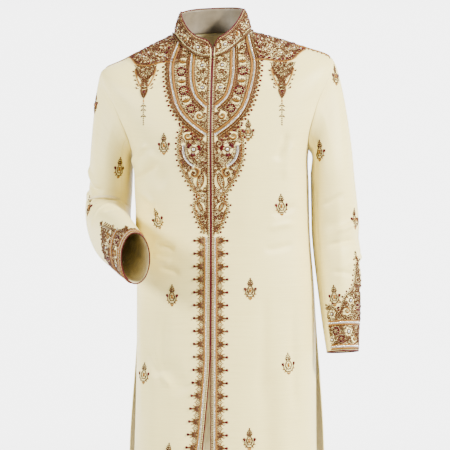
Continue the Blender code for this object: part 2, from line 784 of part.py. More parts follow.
def sleeve_stations(table):
    """Places along an arm's table for the sleeve's rows, with one under each cuff braid."""
    last = len(table) - 1
    whole = arm_length(table, last)
    braids = [last * (1 - back / whole) for back in CUFF_BRAID_BACK]
    return np.sort(np.concatenate([np.linspace(0, last, ARM_ROWS + 1), braids]))


def sleeve_rows(table, side, around, folds):
    """Outer points of a sleeve, in rows from the armhole to the cuff."""
    first, leave, _ = cap_start(around, side)
    land, _, way = arm_section(table, 0, side, around, folds)
    span = np.linalg.norm(land - first, axis=1)[:, None]
    rows = []
    for u in np.linspace(0, 1, CAP_ROWS + 1)[:-1]:
        ahead = u * u * (3 - 2 * u)
        row = first * (1 - ahead) + land * ahead
        row = row + leave * span * (u * (1 - u) ** 2)
        row = row + way * CAP_LAND * span * (u * u * (u - 1))
        rows.append(row)
    for at in sleeve_stations(table):
        rows.append(arm_section(table, at, side, around, folds)[0])
    return np.array(rows)


def sleeve_normals(grid, table, side, around, folds):
    """Outward directions of a sleeve's points, from the points just beside them."""
    down = np.gradient(grid, axis=0)
    beside = sleeve_rows(table, side, around + SLEEVE_STEP_ASIDE, folds)
    beside = beside - sleeve_rows(table, side, around - SLEEVE_STEP_ASIDE, folds)
    normals = unit(np.cross(beside, down)) * side
    normals[0] = cap_start(around, side)[2]
    return normals


def sleeve_turns(start, end, table):
    """Places round a sleeve from one seam to the other, just short of both."""
    gap = math.degrees(HALF_GAP / table[2].half_width)
    turns = np.linspace(start, end, round((end - start) / SLEEVE_STEP) + 1)
    turns[0] += gap
    turns[-1] -= gap
    return turns


def make_sleeves():
    """Both sleeves, each of an upper and an under piece, with the trims of their cuffs."""
    arms = (
        ("left", 1, LEFT_ARM, LEFT_SLEEVE_FOLDS),
        ("right", -1, RIGHT_ARM, RIGHT_SLEEVE_FOLDS),
    )
    for name, side, table, folds in arms:
        upper = sleeve_turns(BACK_SEAM - 360, FRONT_SEAM, table)
        under = sleeve_turns(FRONT_SEAM, BACK_SEAM, table)
        whole = np.concatenate([upper, under])
        outer = sleeve_rows(table, side, whole, folds)
        inner = outer - sleeve_normals(outer, table, side, whole, folds) * WALL
        split = len(upper)
        add_wall("sleeve_" + name + "_upper", outer[:, :split], inner[:, :split], SILK)
        add_wall("sleeve_" + name + "_under", outer[:, split:], inner[:, split:], SILK)
        make_cuff_trims(name, side, table, folds)


def make_cuff_trims(name, side, table, folds):
    """Piping round the sleeve's end and two braids across its upper piece."""
    last = len(table) - 1
    around = np.linspace(0, 360, CUFF_PIPING_COLUMNS, endpoint=False)
    points, normals, way = arm_section(table, last, side, around, folds)
    line = points - normals * WALL / 2 + way * (PIPING + SEAM_GAP)
    add_tube("cuff_piping_" + name, line, normals, PIPING, PIPING_CLOTH, round_way=True)

    whole = arm_length(table, last)
    for height, back in zip(("low", "high"), CUFF_BRAID_BACK):
        place = name + "_" + height
        around = np.array(CUFF_BRAID_TURNS[place])
        at = last * (1 - back / whole)
        points, normals, _ = arm_section(table, at, side, around, folds)
        add_strip("cuff_braid_" + place, points, normals, CUFF_BRAID_WIDTH, SILVER_BRAID)


def main():
    for item in list(bpy.data.objects):
        bpy.data.objects.remove(item, do_unlink=True)
    make_fronts()
    make_back()
    make_front_pipings()
    make_front_braids()
    make_underlap()
    make_yoke_braids()
    make_collar()
    make_sleeves()


main()
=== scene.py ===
"""Sherwani coat: the look of the cloth and its hand embroidery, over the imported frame.

Metres, +Z up. The coat faces -Y and the wearer's left is +X. Turn is the angle round the body in
degrees: 0 is the middle of the front, 90 the wearer's left side and 180 the back.
"""

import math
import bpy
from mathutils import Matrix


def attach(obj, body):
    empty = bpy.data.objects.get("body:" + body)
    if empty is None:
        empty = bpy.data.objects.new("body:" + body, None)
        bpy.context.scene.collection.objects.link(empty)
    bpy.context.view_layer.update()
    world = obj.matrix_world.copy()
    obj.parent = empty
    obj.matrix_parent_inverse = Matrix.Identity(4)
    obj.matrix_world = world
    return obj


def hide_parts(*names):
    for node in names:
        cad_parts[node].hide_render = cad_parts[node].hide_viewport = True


bl_info = {
    "name": "Sherwani coat",
    "version": (1, 0, 0),
    "blender": (4, 5, 0),
    "location": "3D View > Sidebar > Sherwani",
    "description": "Dresses the packed coat in slubbed silk, piping and hand embroidery",
    "category": "Object",
}

from collections import namedtuple

import bpy
import numpy as np
from mathutils import Vector
from mathutils.bvhtree import BVHTree

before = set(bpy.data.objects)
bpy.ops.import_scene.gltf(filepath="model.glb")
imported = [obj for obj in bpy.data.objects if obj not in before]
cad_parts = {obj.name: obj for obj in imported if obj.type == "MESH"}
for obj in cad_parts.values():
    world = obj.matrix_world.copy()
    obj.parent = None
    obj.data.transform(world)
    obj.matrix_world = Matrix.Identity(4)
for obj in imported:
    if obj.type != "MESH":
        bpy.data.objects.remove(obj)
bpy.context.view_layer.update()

# Cloth
WALL = 0.002
COLLAR_WALL = 0.0028
SEAM_GAP = 0.00006
HALF_GAP = SEAM_GAP / 2
EDGE_ROLL = 0.0007
EDGE_REACH = 0.0022

# Heights of the coat
HEM = -1.06
SLIT_TOP = -0.53
SLIT_FULL = -0.86
FRONT_PARTS = -0.655
ARMPIT = -0.235
SHOULDER_TIP = -0.055
NECK = 0.10

# Armhole, as the turn that it takes out of the front and the back
ARMHOLE_FRONT = 22
ARMHOLE_BACK = 24

# Side slits
SLIT_FRONT_TURN = 5
SLIT_BACK_TURN = 1
SLIT_FLARE = 0.011
SLIT_TUCK = 0.004
SLIT_REACH = 0.10

# Front edges
PIPING = 0.0014
EDGE_INSET = HALF_GAP + 2 * PIPING + SEAM_GAP
PARTING = 0.017
PARTING_RUN = 0.2
PARTING_POWER = 1.3
UNDERLAP_DEPTH = WALL / 2 + PIPING + 0.0004
UNDERLAP_WALL = 0.0012
UNDERLAP_LEFT = 0.014
UNDERLAP_RIGHT = 0.012
UNDERLAP_LEVELS = (-0.63, 0.085)

# Collar
COLLAR_CORNER = 0.018
COLLAR_NOTCH = 0.010
COLLAR_FRONT_HEIGHT = 0.036
COLLAR_SIDE_HEIGHT = 0.045
COLLAR_BACK_HEIGHT = 0.052
COLLAR_LEAN_FRONT = 0.006
COLLAR_LEAN_SIDE = 0.013
COLLAR_LEAN_BACK = 0.004
COLLAR_BULGE = 0.0015
COLLAR_CLEAR = 0.002
CORD = 0.002
CORD_CLEAR = 0.0008
CORD_TWIST = 0.009
CORD_STEP = 0.0013

# Sleeves, as places round them in degrees: 0 faces away from the body, 90 the front and 180 the body
FRONT_SEAM = 135
BACK_SEAM = 247.5
CAP_TURN_TOP = 0
CAP_TURN_PIT = 112
CAP_POWER = 2.0
CAP_PULL_TOP = 0.35
CAP_PULL_PIT = 0.9


def rows_of(kind, rows):
    """A table's rows with the names of their columns."""
    return tuple(kind(*row) for row in rows)


Ring = namedtuple(
    "Ring",
    "level half_width shift side_y side_z front_y front_z back_y back_z square lean",
)

# The body's sections, from the hem to the neckline
RINGS = rows_of(Ring, (
    (-1.060, 0.2000, 0.020, 0.000, -1.060, -0.143, -1.060, 0.150, -1.060, 2.40, 0.000),
    (-0.860, 0.1950, 0.020, 0.000, -0.860, -0.137, -0.860, 0.145, -0.860, 2.40, 0.000),
    (-0.660, 0.1890, 0.021, 0.000, -0.660, -0.131, -0.660, 0.139, -0.660, 2.45, 0.000),
    (-0.520, 0.1855, 0.019, 0.000, -0.520, -0.127, -0.520, 0.134, -0.520, 2.50, 0.000),
    (-0.400, 0.1820, 0.0135, 0.000, -0.400, -0.122, -0.400, 0.121, -0.400, 2.60, 0.000),
    (-0.310, 0.1820, 0.0115, 0.000, -0.310, -0.126, -0.310, 0.124, -0.310, 2.75, 0.000),
    (-0.235, 0.1840, 0.009, 0.000, -0.235, -0.130, -0.235, 0.131, -0.235, 2.90, 0.010),
    (-0.145, 0.2170, 0.005, 0.000, -0.147, -0.126, -0.182, 0.127, -0.163, 2.85, 0.024),
    (-0.055, 0.2430, 0.001, 0.000, -0.055, -0.116, -0.132, 0.109, -0.096, 2.50, 0.042),
    (0.000, 0.1900, -0.001, 0.000, -0.029, -0.108, -0.103, 0.094, -0.058, 2.30, 0.052),
    (0.050, 0.1350, -0.004, -0.003, -0.005, -0.098, -0.074, 0.077, -0.020, 2.15, 0.048),
    (0.100, 0.0810, -0.007, -0.008, 0.014, -0.085, -0.047, 0.060, 0.022, 2.05, 0.024),
))

Fold = namedtuple("Fold", "start_x start_z end_x end_z half_width depth bow", defaults=(0.0,))

# The largest folds. A positive depth is a ridge and a negative one a trough.
FOLDS = {
    "front": rows_of(Fold, (
        (-0.165, -0.290, -0.112, -0.236, 0.016, 0.004),
        (-0.160, -0.325, -0.098, -0.415, 0.020, -0.004),
        (-0.150, -0.268, -0.085, -0.305, 0.018, -0.003),
        (0.082, -0.215, 0.066, -0.420, 0.028, 0.003),
        (0.060, -0.470, 0.066, -0.990, 0.032, 0.003),
        (0.135, -0.560, 0.150, -1.060, 0.022, 0.006),
        (0.112, -0.640, 0.116, -1.060, 0.018, -0.004),
        (-0.098, -0.660, -0.048, -0.730, 0.018, -0.004),
        (-0.120, -0.600, -0.128, -1.060, 0.024, 0.005),
        (-0.066, -0.760, -0.064, -1.060, 0.022, 0.003),
    )),
    "back": rows_of(Fold, (
        (0.000, -0.430, 0.006, -1.060, 0.030, 0.006),
        (0.085, -0.400, 0.104, -1.060, 0.026, -0.006),
        (-0.070, -0.420, -0.092, -1.060, 0.026, -0.006),
        (0.135, -0.260, 0.060, -0.345, 0.018, -0.004),
        (-0.130, -0.255, -0.055, -0.350, 0.018, -0.004),
        (-0.020, -0.395, 0.070, -0.405, 0.016, -0.003),
    )),
}

# Finer creases, with a sideways bow
CREASES = {
    "front": rows_of(Fold, (
        (-0.176, -0.270, -0.128, -0.222, 0.007, 0.0022, 0.004),
        (-0.170, -0.300, -0.105, -0.262, 0.006, -0.0016, -0.003),
        (-0.158, -0.318, -0.118, -0.352, 0.006, 0.0016, 0.004),
        (-0.132, -0.355, -0.108, -0.402, 0.005, -0.0014, 0.003),
        (-0.118, -0.425, -0.072, -0.440, 0.006, -0.0014, 0.003),
        (-0.126, -0.452, -0.080, -0.462, 0.005, 0.0012, -0.002),
        (-0.108, -0.472, -0.062, -0.488, 0.006, -0.0012, 0.002),
        (-0.106, -0.688, -0.080, -0.718, 0.005, 0.0016, 0.002),
        (-0.134, -0.640, -0.110, -0.700, 0.008, -0.0016, 0.004),
        (-0.092, -0.560, -0.098, -0.720, 0.011, -0.0012, -0.004),
        (-0.150, -0.540, -0.146, -0.800, 0.010, 0.0016, 0.003),
        (-0.102, -0.820, -0.096, -1.060, 0.012, -0.0018, 0.004),
        (0.152, -0.196, 0.128, -0.262, 0.008, -0.0018, 0.005),
        (0.166, -0.215, 0.148, -0.300, 0.007, 0.0015, -0.004),
        (0.176, -0.345, 0.120, -0.368, 0.007, -0.0014, 0.003),
        (0.170, -0.385, 0.112, -0.398, 0.006, 0.0012, -0.003),
        (0.168, -0.424, 0.104, -0.438, 0.007, -0.0013, 0.004),
        (0.104, -0.500, 0.098, -0.760, 0.011, -0.0012, 0.005),
        (0.166, -0.520, 0.170, -0.780, 0.009, -0.0014, -0.003),
        (0.088, -0.800, 0.094, -1.060, 0.013, 0.0016, 0.004),
        (-0.092, -0.060, -0.140, -0.118, 0.010, -0.0012, 0.006),
        (0.105, -0.068, 0.146, -0.120, 0.009, -0.0011, -0.005),
    )),
    "back": rows_of(Fold, (
        (0.150, -0.215, 0.098, -0.262, 0.008, 0.0018, 0.004),
        (-0.148, -0.210, -0.090, -0.250, 0.008, 0.0018, -0.004),
        (0.160, -0.300, 0.096, -0.322, 0.007, -0.0014, 0.003),
        (-0.158, -0.308, -0.088, -0.336, 0.007, -0.0014, -0.003),
        (-0.072, -0.372, 0.010, -0.384, 0.007, -0.0016, 0.003),
        (0.014, -0.418, 0.098, -0.410, 0.007, 0.0014, -0.004),
        (-0.096, -0.424, -0.030, -0.432, 0.006, -0.0012, 0.003),
        (0.040, -0.460, 0.050, -0.800, 0.012, -0.0014, 0.006),
        (-0.038, -0.480, -0.046, -0.860, 0.012, -0.0014, -0.005),
        (0.140, -0.480, 0.152, -0.900, 0.011, 0.0018, 0.004),
        (-0.124, -0.500, -0.146, -0.940, 0.011, 0.0018, -0.004),
        (-0.060, -0.020, 0.055, -0.026, 0.010, -0.0010, -0.006),
    )),
}

ArmPoint = namedtuple("ArmPoint", "x y z half_width half_depth")

# The sleeves' middle lines with their sections: half width across the arm, half depth front to back
LEFT_ARM = rows_of(ArmPoint, (
    (0.2425, 0.004, -0.285, 0.0455, 0.0740),
    (0.2465, 0.006, -0.350, 0.0485, 0.0715),
    (0.2500, 0.004, -0.415, 0.0500, 0.0680),
    (0.2560, -0.006, -0.500, 0.0465, 0.0620),
    (0.2600, -0.018, -0.580, 0.0400, 0.0560),
    (0.2640, -0.027, -0.648, 0.0335, 0.0520),
))
RIGHT_ARM = rows_of(ArmPoint, (
    (-0.2245, 0.014, -0.262, 0.0450, 0.0720),
    (-0.2300, 0.026, -0.315, 0.0465, 0.0690),
    (-0.2330, 0.017, -0.364, 0.0480, 0.0660),
    (-0.2170, -0.036, -0.403, 0.0455, 0.0640),
    (-0.1790, -0.125, -0.428, 0.0380, 0.0585),
    (-0.1390, -0.215, -0.453, 0.0300, 0.0530),
))

SleeveFold = namedtuple("SleeveFold", "start_turn start_run end_turn end_run half_width depth")

# Folds of the sleeves, by the turn round the arm and the distance from the first arm section
LEFT_SLEEVE_FOLDS = rows_of(SleeveFold, (
    (-30, 0.125, 120, 0.160, 0.016, -0.004),
    (20, 0.080, 130, 0.115, 0.015, -0.0035),
    (-40, 0.195, 70, 0.175, 0.014, -0.003),
    (180, 0.120, 285, 0.150, 0.018, -0.004),
    (78, 0.010, 84, 0.290, 0.012, 0.003),
))
RIGHT_SLEEVE_FOLDS = rows_of(SleeveFold, (
    (10, 0.105, 170, 0.108, 0.013, -0.007),
    (-10, 0.020, 90, 0.062, 0.014, -0.004),
    (0, 0.060, 110, 0.080, 0.012, 0.004),
    (200, 0.110, 300, 0.100, 0.016, 0.004),
    (20, 0.165, 120, 0.150, 0.014, -0.004),
))
LEFT_SLEEVE_CREASES = rows_of(SleeveFold, (
    (10, 0.092, 96, 0.126, 0.006, 0.0016),
    (30, 0.140, 118, 0.152, 0.005, -0.0014),
    (-20, 0.168, 70, 0.196, 0.006, 0.0013),
    (40, 0.214, 110, 0.206, 0.005, -0.0012),
    (-30, 0.250, 40, 0.236, 0.006, -0.0010),
    (60, 0.036, 124, 0.066, 0.006, -0.0013),
    (196, 0.080, 270, 0.108, 0.006, 0.0014),
    (204, 0.170, 280, 0.186, 0.006, -0.0013),
    (70, 0.260, 82, 0.350, 0.006, 0.0010),
))
RIGHT_SLEEVE_CREASES = rows_of(SleeveFold, (
    (20, 0.094, 150, 0.098, 0.005, 0.0024),
    (30, 0.118, 160, 0.118, 0.005, 0.0022),
    (0, 0.000, 80, 0.040, 0.007, 0.0016),
    (-20, 0.040, 60, 0.074, 0.006, -0.0014),
    (40, 0.130, 140, 0.142, 0.006, -0.0018),
    (10, 0.184, 100, 0.172, 0.006, 0.0012),
    (210, 0.082, 290, 0.074, 0.006, -0.0014),
    (206, 0.124, 286, 0.132, 0.006, 0.0014),
    (60, 0.200, 110, 0.226, 0.007, -0.0011),
))

# The finer creases stand out by this much more
CREASE_GAIN = 2.5
SLEEVE_CREASE_GAIN = 3.3
CREASE_WIDTH = 0.0115
# The length on a sleeve that one degree round it stands for
TURN_SIZE = 0.001

# Rows and columns of the shells
BODY_ROWS = 210
ARMHOLE_ROWS = 36
SHOULDER_ROWS = 30
FRONT_COLUMNS = 56
BACK_COLUMNS = 96
CAP_ROWS = 34
ARM_ROWS = 120
SLEEVE_STEP = 4.5
COLLAR_COLUMNS = 130
COLLAR_ROWS = 12
HEM_ROWS = (0, 0.0012, 0.003, 0.006, 0.012, 0.020, 0.0265, 0.0282, 0.030, 0.0318, 0.0335)
EDGE_COLUMNS = (0, 0.0009, 0.002, 0.0036, 0.006)


def between(rows, place, at):
    """The values of a table's rows at one place, on a smooth curve through the rows."""
    table = np.array(rows)
    slope = np.gradient(table, place, axis=0)
    at = min(max(at, place[0]), place[-1])
    first = min(int(np.searchsorted(place, at, side="right")) - 1, len(rows) - 2)
    span = place[first + 1] - place[first]
    u = (at - place[first]) / span
    ahead = u * u * (3 - 2 * u)
    leave = u * (1 - u) ** 2 * span
    arrive = u * u * (u - 1) * span
    value = table[first] * (1 - ahead) + table[first + 1] * ahead
    return value + slope[first] * leave + slope[first + 1] * arrive


def smooth_step(value):
    """0 up to 0, 1 from 1, and smooth between."""
    value = np.clip(value, 0, 1)
    return value * value * (3 - 2 * value)


def unit(vectors):
    """Each vector at length 1."""
    return vectors / np.maximum(np.linalg.norm(vectors, axis=-1, keepdims=True), 1e-12)


def travelled(line):
    """The distance of each point of a line from its first."""
    return np.concatenate([[0], np.cumsum(np.linalg.norm(np.diff(line, axis=0), axis=1))])


def around(count, start=0.0):
    """Even angles round a circle."""
    return start + 2 * math.pi / count * np.arange(count)


def on_circle(angles):
    """The places of some angles on a circle of radius 1."""
    return np.column_stack([np.cos(angles), np.sin(angles)])


def polar(angle, reach):
    """The place at an angle and a distance from the middle."""
    return (reach * math.cos(angle), reach * math.sin(angle))


def ring_at(level):
    """The body's section at a level."""
    return Ring(*between(RINGS, [ring.level for ring in RINGS], level))


def plain_body(turn, level):
    """Points of the body's smooth form at some turns and one level."""
    ring = ring_at(level)
    angle = np.radians(np.asarray(turn, float))
    sine = np.sin(angle)
    cosine = np.cos(angle)
    power = 2 / ring.square
    across = ring.half_width * np.sign(sine) * np.abs(sine) ** power
    reach_y = np.where(cosine > 0, ring.front_y, ring.back_y) - ring.side_y
    reach_z = np.where(cosine > 0, ring.front_z, ring.back_z) - ring.side_z
    x = ring.shift + across
    y = ring.side_y + reach_y * np.abs(cosine) ** power
    z = ring.side_z + reach_z * cosine**2 + ring.lean * across
    return np.stack([x, y, z], axis=-1)


def body_normals(turn, level):
    """Outward directions of the smooth form."""
    turn = np.asarray(turn, float)
    along = plain_body(turn + 0.05, level) - plain_body(turn - 0.05, level)
    up = plain_body(turn, level + 0.001) - plain_body(turn, level - 0.001)
    return unit(np.cross(along, up))


def fold_height(points, face):
    """How far the folds and creases of one face raise or sink its points."""
    height = np.zeros(len(points))
    for fold in FOLDS[face] + CREASES[face]:
        gain = CREASE_GAIN if fold.half_width < CREASE_WIDTH else 1.0
        start = np.array([fold.start_x, fold.start_z])
        run = np.array([fold.end_x, fold.end_z]) - start
        here = points[:, [0, 2]] - start
        share = np.clip(here @ run / (run @ run), 0, 1)
        aside = np.array([-run[1], run[0]]) / np.linalg.norm(run)
        bend = 4 * fold.bow * share * (1 - share)
        away = np.linalg.norm(here - share[:, None] * run - bend[:, None] * aside, axis=1)
        ends = smooth_step(share / 0.3) * smooth_step((1.001 - share) / 0.25 + (fold.end_z <= HEM))
        height += gain * fold.depth * ends * np.exp(-((away / fold.half_width) ** 2))
    return height


def slit_share(level):
    """0 above the side slits, 1 where they are fully open."""
    return float(smooth_step((SLIT_TOP - level) / (SLIT_TOP - SLIT_FULL)))


def body_points(turn, level, face):
    """Outer points and outward directions of the cloth at some turns and one level."""
    plain = plain_body(turn, level)
    normals = body_normals(turn, level)
    ring = ring_at(level)
    from_side = np.abs(plain[:, 1] - ring.side_y)
    near_side = np.exp(-((from_side / SLIT_REACH) ** 2))
    flare = SLIT_FLARE if face == "back" else -SLIT_TUCK
    calm = smooth_step((NECK - 0.03 - level) / 0.1)
    lift = fold_height(plain, face) * calm
    lift += flare * slit_share(level) * near_side
    return plain + normals * lift[:, None], normals


def turn_at_x(x, level):
    """The turn at which the front of a section reaches x."""
    ring = ring_at(level)
    share = np.clip((x - ring.shift) / ring.half_width, -1, 1)
    return np.degrees(np.arcsin(np.sign(share) * np.abs(share) ** (ring.square / 2)))


def armhole_turn(level, size):
    """How much turn the armhole takes at a level."""
    share = (level - ARMPIT) / (SHOULDER_TIP - ARMPIT)
    if not 0 < share < 1:
        return 0.0
    return size * 2 * math.sqrt(share * (1 - share))


def front_outer_turn(level):
    """The turn at which a front ends: side seam or slit, armhole, then shoulder seam."""
    return 90 - armhole_turn(level, ARMHOLE_FRONT) - SLIT_FRONT_TURN * slit_share(level)


def back_outer_turn(level):
    """The turn from the front at which the back begins."""
    return 90 + armhole_turn(level, ARMHOLE_BACK) + SLIT_BACK_TURN * slit_share(level)


def levels():
    """The levels of a panel's rows, close together at the hem and round the armhole."""
    hem = HEM + np.array(HEM_ROWS)
    body = np.linspace(hem[-1] + 0.004, ARMPIT, BODY_ROWS)
    swing = np.linspace(0, math.pi, ARMHOLE_ROWS + 1)
    armhole = ARMPIT + (SHOULDER_TIP - ARMPIT) * (1 - np.cos(swing)) / 2
    shoulder = np.linspace(SHOULDER_TIP, NECK, SHOULDER_ROWS + 1)
    return np.concatenate([hem, body, armhole[1:], shoulder[1:]])


def arc_turns(start, end, level, distances):
    """Turns at some distances along a section from its start, negative ones from its end."""
    dense = np.linspace(start, end, 500)
    points = plain_body(dense, level)
    length = travelled(points)
    places = np.asarray(distances(length[-1]) if callable(distances) else distances)
    return np.interp(places, length, dense), places


def column_places(columns, first_inset, last_inset):
    """Distances of a row's columns, closer together at both seams."""
    def places(length):
        first = first_inset + np.array(EDGE_COLUMNS)
        last = length - last_inset - np.array(EDGE_COLUMNS[::-1])
        middle = np.linspace(first[-1], last[0], columns + 1)[1:-1]
        return np.concatenate([first, middle, last])
    return places


def parting(level):
    """How far the right front's edge has swung away from the opening."""
    below = max(0.0, FRONT_PARTS - level)
    return PARTING * (below / PARTING_RUN) ** PARTING_POWER


def front_row(level, side):
    """The turns of one row of a front, and their distances from its edge at the opening."""
    start = float(turn_at_x(0.0, level))
    inset = EDGE_INSET + (parting(level) if side < 0 else 0)
    end = side * front_outer_turn(level)
    return arc_turns(start, end, level, column_places(FRONT_COLUMNS, inset, HALF_GAP))


def back_row(level):
    """The turns of one row of the back, and their distances from its first edge."""
    start = back_outer_turn(level)
    return arc_turns(start, 360 - start, level, column_places(BACK_COLUMNS, HALF_GAP, HALF_GAP))


def edge_roll(distances, both):
    """How far a panel's edges roll inward at its seams."""
    last = distances[-1] - distances
    roll = np.exp(-((last / EDGE_REACH) ** 2))
    if both:
        roll = roll + np.exp(-(((distances - distances[0]) / EDGE_REACH) ** 2))
    return -EDGE_ROLL * roll


def hem_roll(level):
    """How far the hem's edge rolls inward and its hidden stitches dent the cloth."""
    edge = math.exp(-(((level - HEM) / EDGE_REACH) ** 2))
    stitches = math.exp(-(((level - HEM - 0.0300) / 0.0016) ** 2))
    return -EDGE_ROLL * edge - 0.0003 * stitches


def panel_grid(row_of, face, both_edges):
    """Outer points, outward directions and cloth lengths of one panel."""
    grid = []
    facing = []
    lengths = []
    for level in levels():
        turns, distances = row_of(level)
        points, normals = body_points(turns, level, face)
        lift = edge_roll(distances, both_edges) + hem_roll(level)
        grid.append(points + normals * lift[:, None])
        facing.append(normals)
        lengths.append(distances)
    return np.array(grid), np.array(facing), np.array(lengths)


def run_lengths(grid):
    """The distance of each row from the first, the same all along the row."""
    steps = np.linalg.norm(np.diff(grid, axis=0), axis=2).mean(axis=1)
    return np.concatenate([[0], np.cumsum(steps)])


def arm_station(table, at, side):
    """Centre, direction, outward and forward axes and half sizes at a place along an arm's table."""
    place = np.arange(len(table))
    here = between(table, place, at)
    ahead = between(table, place, min(at + 0.02, len(table) - 1))
    behind = between(table, place, max(at - 0.02, 0))
    way = unit(ahead[:3] - behind[:3])
    outward = np.array([side, 0, 0], float)
    outward = unit(outward - way * (outward @ way))
    forward = side * np.cross(way, outward)
    return here, way, outward, forward


def sleeve_fold_height(places, run, folds):
    """How far the sleeve's folds raise or sink its points."""
    height = np.zeros(len(places))
    for fold in folds:
        start = np.array([fold.start_turn * TURN_SIZE, fold.start_run])
        way = np.array([fold.end_turn * TURN_SIZE, fold.end_run]) - start
        gain = SLEEVE_CREASE_GAIN if fold.half_width < CREASE_WIDTH else 1.0
        for lap in (-360, 0, 360):
            here = np.stack([(places + lap) * TURN_SIZE, np.full(len(places), run)], axis=1) - start
            share = np.clip(here @ way / (way @ way), 0, 1)
            away = np.linalg.norm(here - share[:, None] * way, axis=1)
            ends = smooth_step(share / 0.3) * smooth_step((1 - share) / 0.3)
            height += gain * fold.depth * ends * np.exp(-((away / fold.half_width) ** 2))
    return height


def arm_length(table, at):
    """The distance along an arm's middle line from its first section."""
    place = np.arange(len(table))
    steps = [between(table, place, part)[:3] for part in np.linspace(0, at, 40)]
    return float(np.linalg.norm(np.diff(steps, axis=0), axis=1).sum())


def arm_section(table, at, side, places, folds):
    """Points and outward directions of one section of a sleeve."""
    here, way, outward, forward = arm_station(table, at, side)
    angle = np.radians(places)[:, None]
    half_width = here[3]
    half_depth = here[4]
    points = here[:3] + half_width * np.cos(angle) * outward + half_depth * np.sin(angle) * forward
    normals = unit(half_depth * np.cos(angle) * outward + half_width * np.sin(angle) * forward)
    run = arm_length(table, at)
    lift = sleeve_fold_height(places, run, folds)
    return points + normals * lift[:, None], normals, way


def armhole_places(places):
    """Turn and level of the armhole at places round the sleeve, for the wearer's left side."""
    angle = np.radians(places)
    level = ARMPIT + (SHOULDER_TIP - ARMPIT) * (1 + np.cos(angle)) / 2
    sine = np.sin(angle)
    turn = 90 - np.where(sine > 0, ARMHOLE_FRONT, ARMHOLE_BACK) * sine
    return turn, level


def along_armhole(find, places, side):
    """What a function of the body's turn and level gives along the armhole's edge."""
    return np.array([find([side * turn], level)[0] for turn, level in zip(*armhole_places(places))])


def armhole_points(places, side):
    """Points, normals and the way out of the body along the armhole's edge."""
    points = along_armhole(plain_body, places, side)
    normals = along_armhole(body_normals, places, side)
    ahead = along_armhole(plain_body, places + 1.0, side)
    behind = along_armhole(plain_body, places - 1.0, side)
    rim = unit(np.cross(unit(ahead - behind), normals)) * side
    middle = points.mean(axis=0)
    if np.mean(np.einsum("ij,ij->i", rim, points - middle)) > 0:
        rim = -rim
    return points, normals, rim


def cap_start(places, side):
    """The sleeve's first points at the armhole, the ways they leave it and their outward directions."""
    start, normals, rim = armhole_points(places, side)
    half_way = (1 - np.cos(np.radians(places))) / 2
    lift = np.radians(CAP_TURN_TOP + (CAP_TURN_PIT - CAP_TURN_TOP) * half_way**CAP_POWER)[:, None]
    leave = np.cos(lift) * rim + np.sin(lift) * normals
    facing = np.cos(lift) * normals - np.sin(lift) * rim
    pull = CAP_PULL_TOP + (CAP_PULL_PIT - CAP_PULL_TOP) * half_way[:, None]
    return start + leave * SEAM_GAP, leave * pull, facing


def sleeve_rows(table, side, places, folds):
    """Outer points of a sleeve, in rows from the armhole to the cuff."""
    first, leave, _ = cap_start(places, side)
    land, _, way = arm_section(table, 0, side, places, folds)
    span = np.linalg.norm(land - first, axis=1)[:, None]
    rows = []
    for u in np.linspace(0, 1, CAP_ROWS + 1)[:-1]:
        ahead = u * u * (3 - 2 * u)
        row = first * (1 - ahead) + land * ahead
        row = row + leave * span * (u * (1 - u) ** 2)
        row = row + way * span * (u * u * (u - 1))
        rows.append(row)
    for at in np.linspace(0, len(table) - 1, ARM_ROWS + 1):
        rows.append(arm_section(table, at, side, places, folds)[0])
    return np.array(rows)


def sleeve_normals(grid, table, side, places, folds):
    """Outward directions of a sleeve's points, from the points just beside them."""
    down = np.gradient(grid, axis=0)
    across = sleeve_rows(table, side, places + 2, folds) - sleeve_rows(table, side, places - 2, folds)
    normals = unit(np.cross(across, down)) * side
    normals[0] = cap_start(places, side)[2]
    return normals


def sleeve_turns(start, end, table):
    """Places round a sleeve from one seam to the other, just short of both."""
    gap = math.degrees(HALF_GAP / table[2].half_width)
    turns = np.linspace(start, end, round((end - start) / SLEEVE_STEP) + 1)
    turns[0] += gap
    turns[-1] -= gap
    near = np.array([0.9, 2.2])
    return np.concatenate([turns[:1], turns[0] + near, turns[1:-1], turns[-1] - near[::-1], turns[-1:]])


def neckline(columns):
    """Turns, points, normals, upward ways and places along the neckline, from edge to edge."""
    start = float(turn_at_x(0.0, NECK))
    dense = np.linspace(start, 360 + start, 1200)
    line = plain_body(dense, NECK)
    run = travelled(line)
    corner = COLLAR_CORNER * np.array([0.02, 0.06, 0.12, 0.2, 0.3, 0.42, 0.56, 0.72, 0.86, 1.0])
    first = EDGE_INSET
    last = run[-1] - EDGE_INSET
    middle = np.linspace(first + COLLAR_CORNER, last - COLLAR_CORNER, columns)[1:-1]
    places = np.concatenate([[first], first + corner, middle, last - corner[::-1], [last]])
    turns = np.interp(places, run, dense)
    points = plain_body(turns, NECK)
    upward = unit(plain_body(turns, NECK) - plain_body(turns, NECK - 0.001))
    return turns, points, body_normals(turns, NECK), upward, places - first


def collar_height(turns, from_end):
    """The collar's height: rounded at its front corners, and highest at the back."""
    corner = np.clip(from_end / COLLAR_CORNER, 0, 1)
    rounded = np.sqrt(1 - (1 - corner) ** 2)
    front = COLLAR_NOTCH + (COLLAR_FRONT_HEIGHT - COLLAR_NOTCH) * rounded
    half_way = (1 - np.cos(np.radians(turns))) / 2
    rise = np.interp(half_way, [0, 0.5, 1], [0, 1, 1])
    back = np.interp(half_way, [0.5, 1], [0, 1])
    side_rise = (COLLAR_SIDE_HEIGHT - COLLAR_FRONT_HEIGHT) * smooth_step(rise)
    return front + side_rise + (COLLAR_BACK_HEIGHT - COLLAR_SIDE_HEIGHT) * smooth_step(back)


